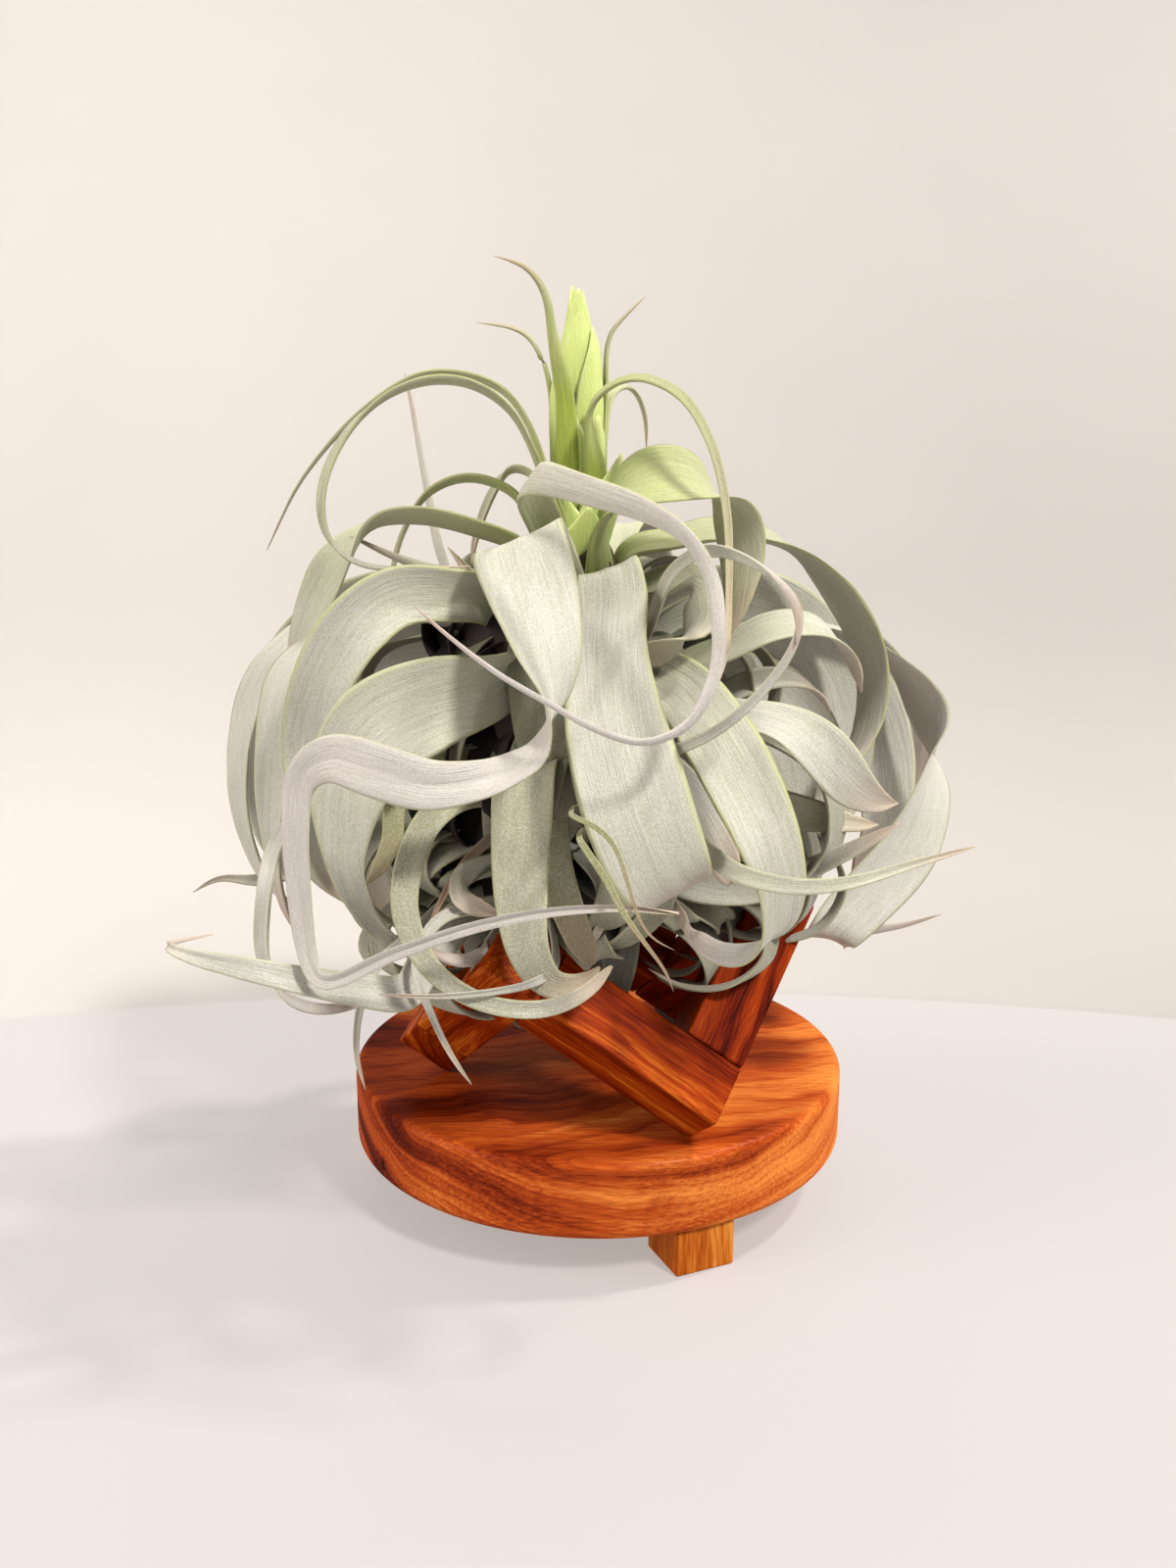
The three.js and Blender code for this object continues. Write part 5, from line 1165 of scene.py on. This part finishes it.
def oiledHardwood(name, look, attributeName=None):
    # Tropical hardwood, sawn, sanded and rubbed with oil: orange-brown with dark growth bands that
    # drift along the grain, fine open pores, and a low satin gloss that is hazier across the fibres.
    material = emptyMaterial(name)
    tree = material.node_tree
    local = addNode(tree, "ShaderNodeTexCoord").outputs["Object"]
    if attributeName:  # bars and feet: millimetres along and across the grain
        grain = addNode(tree, "ShaderNodeAttribute", attribute_name=attributeName).outputs["Vector"]
    else:  # the disc: millimetres from its middle
        grain = addNode(tree, "ShaderNodeMapping", {
            "Vector": local, "Location": tuple(-v / mm for v in (standCentre.x, standCentre.y, lowDisc.z)),
            "Scale": (1 / mm, 1 / mm, 1 / mm)})
    along, first, second = addNode(tree, "ShaderNodeSeparateXYZ", {0: grain}).outputs
    slow = addNode(tree, "ShaderNodeVectorMath", {0: grain, 1: look["ring wander"]}, operation="MULTIPLY")
    wander = addNode(tree, "ShaderNodeTexNoise", {"Vector": slow, "Scale": 1.0, "Detail": 2.0}).outputs[0]
    if attributeName:  # rings round a pith
        firstSquared = addNode(tree, "ShaderNodeMath", {0: first, 1: first}, operation="MULTIPLY")
        squares = addNode(tree, "ShaderNodeMath", {0: second, 1: second, 2: firstSquared},
                          operation="MULTIPLY_ADD")
        depth = addNode(tree, "ShaderNodeMath", {0: squares}, operation="SQRT")
    else:  # sawn from a wide board: its growth layers tilt up to the front and dip to the right
        dip, tilt = look["layer slopes"]
        depth = addNode(tree, "ShaderNodeMath", {0: along, 1: dip, 2: second}, operation="MULTIPLY_ADD")
        depth = addNode(tree, "ShaderNodeMath", {0: first, 1: tilt, 2: depth}, operation="MULTIPLY_ADD")
    depth = addNode(tree, "ShaderNodeMath", {0: wander, 1: look["wander depth"], 2: depth},
                    operation="MULTIPLY_ADD")

    slowAlong = addNode(tree, "ShaderNodeMath", {0: along, 1: look["slow along"]}, operation="MULTIPLY")
    ringDepth = addNode(tree, "ShaderNodeMath", {0: depth, 1: 1 / look["ring spacing"]},
                        operation="MULTIPLY")
    ringSpot = addNode(tree, "ShaderNodeCombineXYZ", {0: ringDepth, 1: slowAlong, 2: 0.0})
    rings = addNode(tree, "ShaderNodeTexNoise", {"Vector": ringSpot, "Scale": 0.55, "Detail": 4.0,
                                                 "Roughness": 0.6}).outputs[0]
    fibreSpot = addNode(tree, "ShaderNodeVectorMath", {0: grain, 1: (look["fibre stretch"], 1, 1)},
                        operation="MULTIPLY")
    fibres, pores, patches = (
        addNode(tree, "ShaderNodeTexNoise", {"Vector": spot, "Scale": perUnit / look[key],
                                             "Detail": detail}).outputs[0]
        for key, spot, perUnit, detail in (("fibre width", fibreSpot, 1, 3.0),
                                           ("pore spacing", fibreSpot, 1, 1.0),
                                           ("patch size", local, 1 / mm, 2.0)))
    tone = addNode(tree, "ShaderNodeMath", {0: fibres, 1: 0.35, 2: -0.175}, operation="MULTIPLY_ADD")
    tone = addNode(tree, "ShaderNodeMath", {0: tone, 1: rings}, operation="ADD")
    growth = addNode(tree, "ShaderNodeMath", {0: rings, 1: 1.6, 2: ringDepth}, operation="MULTIPLY_ADD")
    growth = addNode(tree, "ShaderNodeMath", {0: growth, 1: 1.7}, operation="MULTIPLY")
    growth = addNode(tree, "ShaderNodeMath", {0: growth}, operation="FRACT")
    lateGrowth = addNode(tree, "ShaderNodeMath", {0: growth, 1: look["late growth"]}, operation="POWER")
    for part, weight in ((lateGrowth, -0.09), (patches, 0.45), (along, look["painted light drift"])):
        tone = addNode(tree, "ShaderNodeMath", {0: part, 1: weight, 2: tone}, operation="MULTIPLY_ADD")

    ramp = addNode(tree, "ShaderNodeValToRGB", {0: tone})
    stops = ramp.color_ramp.elements
    for place, key in zip(look["stops"], ("dark", "deep", "middle", "light")):
        stops.new(place).color = fromHex(look[key])
    stops.remove(stops[0])
    stops.remove(stops[-1])
    poreShare, rough = (
        addNode(tree, "ShaderNodeMapRange", dict(enumerate((source, *look[key]))))
        for key, source in (("pore edge", pores), ("roughness", rings)))
    shown = addNode(tree, "ShaderNodeMix", {0: poreShare, 6: ramp.outputs[0], 7: fromHex(look["dark"])},
                    data_type="RGBA")
    if look["knot"]:  # a small dark knot with a slit, ringed by bent growth lines
        away = grain
        for values, how in zip(look["knot"], ("SUBTRACT", "DIVIDE")):
            away = addNode(tree, "ShaderNodeVectorMath", {0: away, 1: values}, operation=how)
        away = addNode(tree, "ShaderNodeVectorMath", {0: away}, operation="LENGTH").outputs["Value"]
        knotShare = addNode(tree, "ShaderNodeMapRange", dict(enumerate((away, *look["knot edge"]))),
                            interpolation_type="SMOOTHSTEP")
        shown = addNode(tree, "ShaderNodeMix", {0: knotShare, 6: shown, 7: fromHex(look["knot tone"])},
                        data_type="RGBA")
    relief = addNode(tree, "ShaderNodeMath", {0: pores, 1: -0.6, 2: fibres}, operation="MULTIPLY_ADD")
    bump = addNode(tree, "ShaderNodeBump", {"Strength": 0.25, "Distance": look["relief"] * mm,
                                            "Height": relief})
    surface = addNode(tree, "ShaderNodeBsdfPrincipled", {
        "Base Color": shown, "Roughness": rough, "Normal": bump, "IOR": 1.5,
        "Specular IOR Level": 0.0, "Coat Weight": 0.1, "Coat Roughness": 0.32})
    addNode(tree, "ShaderNodeOutputMaterial", {"Surface": surface})
    return material


barWood = oiledHardwood("oiledHardwoodBar", {
    **hardwoodLook, "ring spacing": 2.4, "stops": (0.46, 0.6, 0.77, 0.97)}, "grain")
footWood = oiledHardwood("oiledPaleFoot", {
    **hardwoodLook, "dark": "#7A3208", "deep": "#A34E12", "middle": "#C47428", "light": "#DC9A4C"}, "grain")
discWood = oiledHardwood("oiledHardwoodDisc", {
    **hardwoodLook, "dark": "#420F04", "deep": "#74250B", "middle": "#A84717", "light": "#DC843A",
    "ring spacing": 4.6, "ring wander": (0.02, 0.03, 0.045), "wander depth": 13,
    # painted light and shade: the disc is darker on its left, where the plant's shade falls, and lighter to
    # the right
    "layer slopes": (0.1, -0.36), "painted light drift": 0.0015,
    "knot": ((-62.3, -41.7, 5.6), (1.6, 1.6, 2.9))})
barFinish = {
    "edge": 0.8,
    "edge steps": 3,
    "sharp": 20,  # degrees between faces from which an edge is eased
    "flat": 1,  # degrees up to which faces are one
    "weld": 0.02,
    "pith": (26, 60),  # mm from a bar's middle to the middle of its growth rings
    "slide": 400,  # mm either way along the grain
}


def barPiece(node, upright=False):  # the CAD bar with its edges eased by sanding
    shape = bmesh.new()
    shape.from_mesh(frame["nodes"][node].data)
    bmesh.ops.remove_doubles(shape, verts=shape.verts, dist=barFinish["weld"] * mm)
    bmesh.ops.dissolve_limit(shape, angle_limit=math.radians(barFinish["flat"]), verts=shape.verts,
                             edges=shape.edges)
    longest = max(shape.edges, key=lambda e: e.calc_length())
    lengthwise = Vector((0, 0, 1)) if upright else (longest.verts[1].co - longest.verts[0].co).normalized()
    others = [(e.verts[1].co - e.verts[0].co).normalized() for e in shape.edges]
    firstSide = min(others, key=lambda d: abs(d.dot(lengthwise)))
    secondSide = lengthwise.cross(firstSide).normalized()
    centre = sum((v.co for v in shape.verts), Vector()) / len(shape.verts)
    sharp = [e for e in shape.edges if e.calc_face_angle(0) > math.radians(barFinish["sharp"])]
    bmesh.ops.bevel(shape, geom=sharp, offset=barFinish["edge"] * mm, offset_type="OFFSET",
                    segments=barFinish["edge steps"], profile=0.5, affect="EDGES", clamp_overlap=True)
    pithTurn = chance.uniform(0, 2 * math.pi)
    pithAway = chance.uniform(*barFinish["pith"])
    slide = chance.uniform(-barFinish["slide"], barFinish["slide"])
    mesh = bpy.data.meshes.new(node + "_piece")
    layer = shape.verts.layers.float_vector.new("grain")
    for vert in shape.verts:
        away = (vert.co - centre) / mm
        vert[layer] = (away.dot(lengthwise) + slide, away.dot(firstSide) + pithAway * math.cos(pithTurn),
                       away.dot(secondSide) + pithAway * math.sin(pithTurn))
    for side in shape.faces:
        side.smooth = True
    shape.to_mesh(mesh)
    shape.free()
    mesh.materials.append(footWood if upright else barWood)
    return mesh


def evenNormals(piece):  # keeps flat faces flat up to their eased edges
    piece.modifiers.new("evenNormals", "WEIGHTED_NORMAL").keep_sharp = True


for node in sorted(frame["nodes"]):
    if node.startswith(("ring_bar", "stand_foot")):
        shape = barPiece(node, node.startswith("stand_foot"))
        evenNormals(addPiece(node + "_piece", shape, slotOf[node], node))

disc = {
    "sides": 220,
    "top edge": 2.4,
    "bottom edge": 2.8,
    "edge steps": 7,
    "rings": [0, 14, 28, 42, 56, 66],  # radii of the loops on the flat faces
}


def discMesh():  # turned outline spun round the middle, with both rims eased
    low, high = lowDisc.z / mm, highDisc.z / mm
    radius = (highDisc.x - lowDisc.x) / 2 / mm
    outline = [(r, low) for r in disc["rings"]]
    for size, middle, start in ((disc["bottom edge"], low + disc["bottom edge"], -math.pi / 2),
                                (disc["top edge"], high - disc["top edge"], 0)):
        for step in range(disc["edge steps"] + 1):
            angle = start + math.pi / 2 * step / disc["edge steps"]
            outline.append((radius - size + size * math.cos(angle), middle + size * math.sin(angle)))
    outline += [(r, high) for r in reversed(disc["rings"])]
    shape = bmesh.new()
    previous = None
    for r, z in outline:
        if r == 0:
            current = [shape.verts.new(toRow((0, 0, z)))]
        else:
            current = [shape.verts.new(toRow((r * math.cos(2 * math.pi * k / disc["sides"]),
                                              r * math.sin(2 * math.pi * k / disc["sides"]), z)))
                       for k in range(disc["sides"])]
        if previous:
            for k in range(disc["sides"]):
                n = (k + 1) % disc["sides"]
                corners = [previous[k % len(previous)], previous[n % len(previous)],
                           current[n % len(current)], current[k % len(current)]]
                shape.faces.new(list(dict.fromkeys(corners)))
        previous = current
    bmesh.ops.recalc_face_normals(shape, faces=shape.faces)
    for side in shape.faces:
        side.smooth = True
    mesh = bpy.data.meshes.new("stand_disc_turned")
    shape.to_mesh(mesh)
    shape.free()
    mesh.materials.append(discWood)
    return mesh


evenNormals(addPiece("stand_disc_turned", discMesh(), slotOf["stand_disc"], "stand_disc"))
print("stand made")

stage = {
    "floor": "#817D7E",
    "floor right": "#807D7D",
    "backdrop": "#C3BFBA",
    # painted shade: the backdrop is darker to the right
    "backdrop right": "#AEAAA5",
    "backdrop foot": 0.7,  # painted shade: share of the tone where the backdrop curves out of the floor, darker where it faces up
    "edge": "#817C78",
    "edge share": 0.6,
    "edge width": (3.5, 0.5),  # mm from the line where the edge tone starts and where it is full
    "soft": 3,  # mm to each side of the line over which the two tones change
    "glow": (0.43, 0.16),  # painted light: glow of the floor and of the upright backdrop, which lightens their shadows
    "glow tone": "#F6EFEA",
    "line": 148,  # mm behind the disc's middle, where the round floor ends
    "floor radius": 850,
    "tone reach": 300,  # mm to each side over which the tones change
    "cloud size": 166.67,
    "cloud tone": (0.3, 0.7, 0.98, 1.01),
    "roughness": 0.6,
    "half width": 4000,
    "front": -3000,
    "folds": (-900, 0),  # mm before and behind the middle where the floor has a seam
    "backdrop place": 1000,
    "bend": 820,
    "bend steps": 32,
    "backdrop height": 3200,
}


def stageMaterial():
    # Painted board, matt and pale: a floor with a softly shaded far edge, and the backdrop behind it. Painted
    # light and shade: the backdrop is darker to the right and where it lies level, and floor and backdrop
    # glow.
    material = emptyMaterial("palePaintedBoard")
    tree = material.node_tree
    local = addNode(tree, "ShaderNodeTexCoord").outputs["Object"]
    centred = addNode(tree, "ShaderNodeMapping", {
        "Vector": local, "Location": (-standCentre.x / mm, -standCentre.y / mm, 0),
        "Scale": (1 / mm, 1 / mm, 1 / mm)})
    aside, back, _ = addNode(tree, "ShaderNodeSeparateXYZ", {0: centred}).outputs
    bow = addNode(tree, "ShaderNodeMath", {0: aside, 1: aside}, operation="MULTIPLY")
    past = addNode(tree, "ShaderNodeMath", {0: bow, 1: 0.5 / stage["floor radius"], 2: back},
                   operation="MULTIPLY_ADD")
    line, soft, reach = stage["line"], stage["soft"], stage["tone reach"]
    blend, rightward = (
        addNode(tree, "ShaderNodeMapRange", {0: value, 1: low, 2: high, 3: 0.0, 4: 1.0})
        for value, low, high in ((past, line - soft, line + soft), (aside, -reach, reach)))
    floorTone, backTone = (
        addNode(tree, "ShaderNodeMix", {0: rightward, 6: fromHex(stage[key]),
                                        7: fromHex(stage[key + " right"])}, data_type="RGBA")
        for key in ("floor", "backdrop"))
    facing = addNode(tree, "ShaderNodeSeparateXYZ", {
        0: addNode(tree, "ShaderNodeNewGeometry").outputs["Normal"]}).outputs
    footTone = addNode(tree, "ShaderNodeMapRange",
                       {0: facing["Z"], 1: 0.0, 2: 1.0, 3: 1.0, 4: stage["backdrop foot"]})
    backTone = toned(tree, backTone, footTone)
    fromLine = addNode(tree, "ShaderNodeMath", {0: past, 1: line}, operation="SUBTRACT")
    fromLine = addNode(tree, "ShaderNodeMath", {0: fromLine}, operation="ABSOLUTE")
    edgeStart, edgeFull = stage["edge width"]
    edgeShare = addNode(tree, "ShaderNodeMapRange",
                        {0: fromLine, 1: edgeStart, 2: edgeFull, 3: 0.0, 4: stage["edge share"]})
    edgeShare = addNode(tree, "ShaderNodeMath", {0: edgeShare, 1: rightward}, operation="MULTIPLY")
    shown = floorTone
    for share, layer in ((blend, backTone), (edgeShare, fromHex(stage["edge"]))):
        shown = addNode(tree, "ShaderNodeMix", {0: share, 6: shown, 7: layer}, data_type="RGBA")
    cloud = addNode(tree, "ShaderNodeTexNoise", {
        "Vector": local, "Scale": 1 / (stage["cloud size"] * mm), "Detail": 2.0}).outputs[0]
    cloudTone = addNode(tree, "ShaderNodeMapRange", dict(enumerate((cloud, *stage["cloud tone"]))))
    shown = toned(tree, shown, cloudTone)
    glow = addNode(tree, "ShaderNodeMapRange", dict(enumerate((blend, 0.0, 1.0, *stage["glow"]))))
    surface = addNode(tree, "ShaderNodeBsdfPrincipled", {
        "Base Color": shown, "Roughness": stage["roughness"],
        "Emission Color": fromHex(stage["glow tone"]), "Emission Strength": glow})
    addNode(tree, "ShaderNodeOutputMaterial", {"Surface": surface})
    return material


def addStage():  # a floor that bends up into a backdrop
    bend, place = stage["bend"], stage["backdrop place"]
    profile = [(y, 0) for y in (stage["front"], *stage["folds"], place - bend)]
    for step in range(1, stage["bend steps"] + 1):
        angle = math.pi / 2 * step / stage["bend steps"]
        profile.append((place - bend * (1 - math.sin(angle)), bend * (1 - math.cos(angle))))
    profile.append((place, stage["backdrop height"]))
    verts = [toRow((x, y, z)) for y, z in profile for x in (-stage["half width"], stage["half width"])]
    faces = [(2 * k, 2 * k + 1, 2 * k + 3, 2 * k + 2) for k in range(len(profile) - 1)]
    mesh = bpy.data.meshes.new("studio_floor")
    mesh.from_pydata([tuple(v) for v in verts], [], faces)
    for side in mesh.polygons:
        side.use_smooth = True
    mesh.materials.append(stageMaterial())
    floor = placed("studio_floor", mesh)


addStage()

light = {
    "view": "Standard",
    "world": ("#FAF6F3", 0.37),
    "aim": 130,  # mm above the floor
    "distance": 1500,
    "key": {"from": (18, -21, 30), "spread": 9, "strength": 3.2, "colour": "#FFFAF5"},
    "side": {"from": (97, 26, 150), "spread": 5, "strength": 2.3, "colour": "#FFFAF5"},
    "fill": {"from": (-60, -20, 34), "spread": 40, "strength": 2.1, "colour": "#FFF6EE"},
}


def addLights():
    bpy.context.scene.view_settings.view_transform = light["view"]
    world = bpy.data.worlds.new("paleRoom")
    bpy.context.scene.world = world
    world.use_nodes = True
    world.node_tree.nodes.clear()
    colour, strength = light["world"]
    sky = addNode(world.node_tree, "ShaderNodeBackground", {"Color": fromHex(colour), "Strength": strength})
    addNode(world.node_tree, "ShaderNodeOutputWorld", {"Surface": sky})
    for name in ("key", "side", "fill"):  # each as even as a large window far away
        facts = light[name]
        lamp = bpy.data.lights.new(name + "Light", "SUN")
        lamp.angle = math.radians(facts["spread"])
        lamp.energy = facts["strength"]
        lamp.color = fromHex(facts["colour"])[:3]
        holder = placed(name + "Light", lamp)
        away = Vector(facts["from"]).normalized()
        holder.location = Vector(toRow((0, 0, light["aim"]))) + away * light["distance"] * mm
        holder.rotation_euler = away.to_track_quat("Z", "Y").to_euler()


addLights()

camera = {
    "place": (-3.1, -430.4974, 222.8799),
    "down": 13.1,  # degrees below level
    "lens": 33.75,
    "sensor": 36,
    "clip": (0.01, 50),  # metres
}


def addCamera():
    data = bpy.data.cameras.new("photoCamera")
    data.sensor_width = camera["sensor"]
    data.sensor_fit = "AUTO"
    data.lens = camera["lens"]
    data.clip_start, data.clip_end = camera["clip"]
    holder = placed("photoCamera", data)
    holder.location = Vector(toRow(camera["place"]))
    holder.rotation_euler = (math.radians(90 - camera["down"]), 0, 0)
    bpy.context.scene.camera = holder


addCamera()
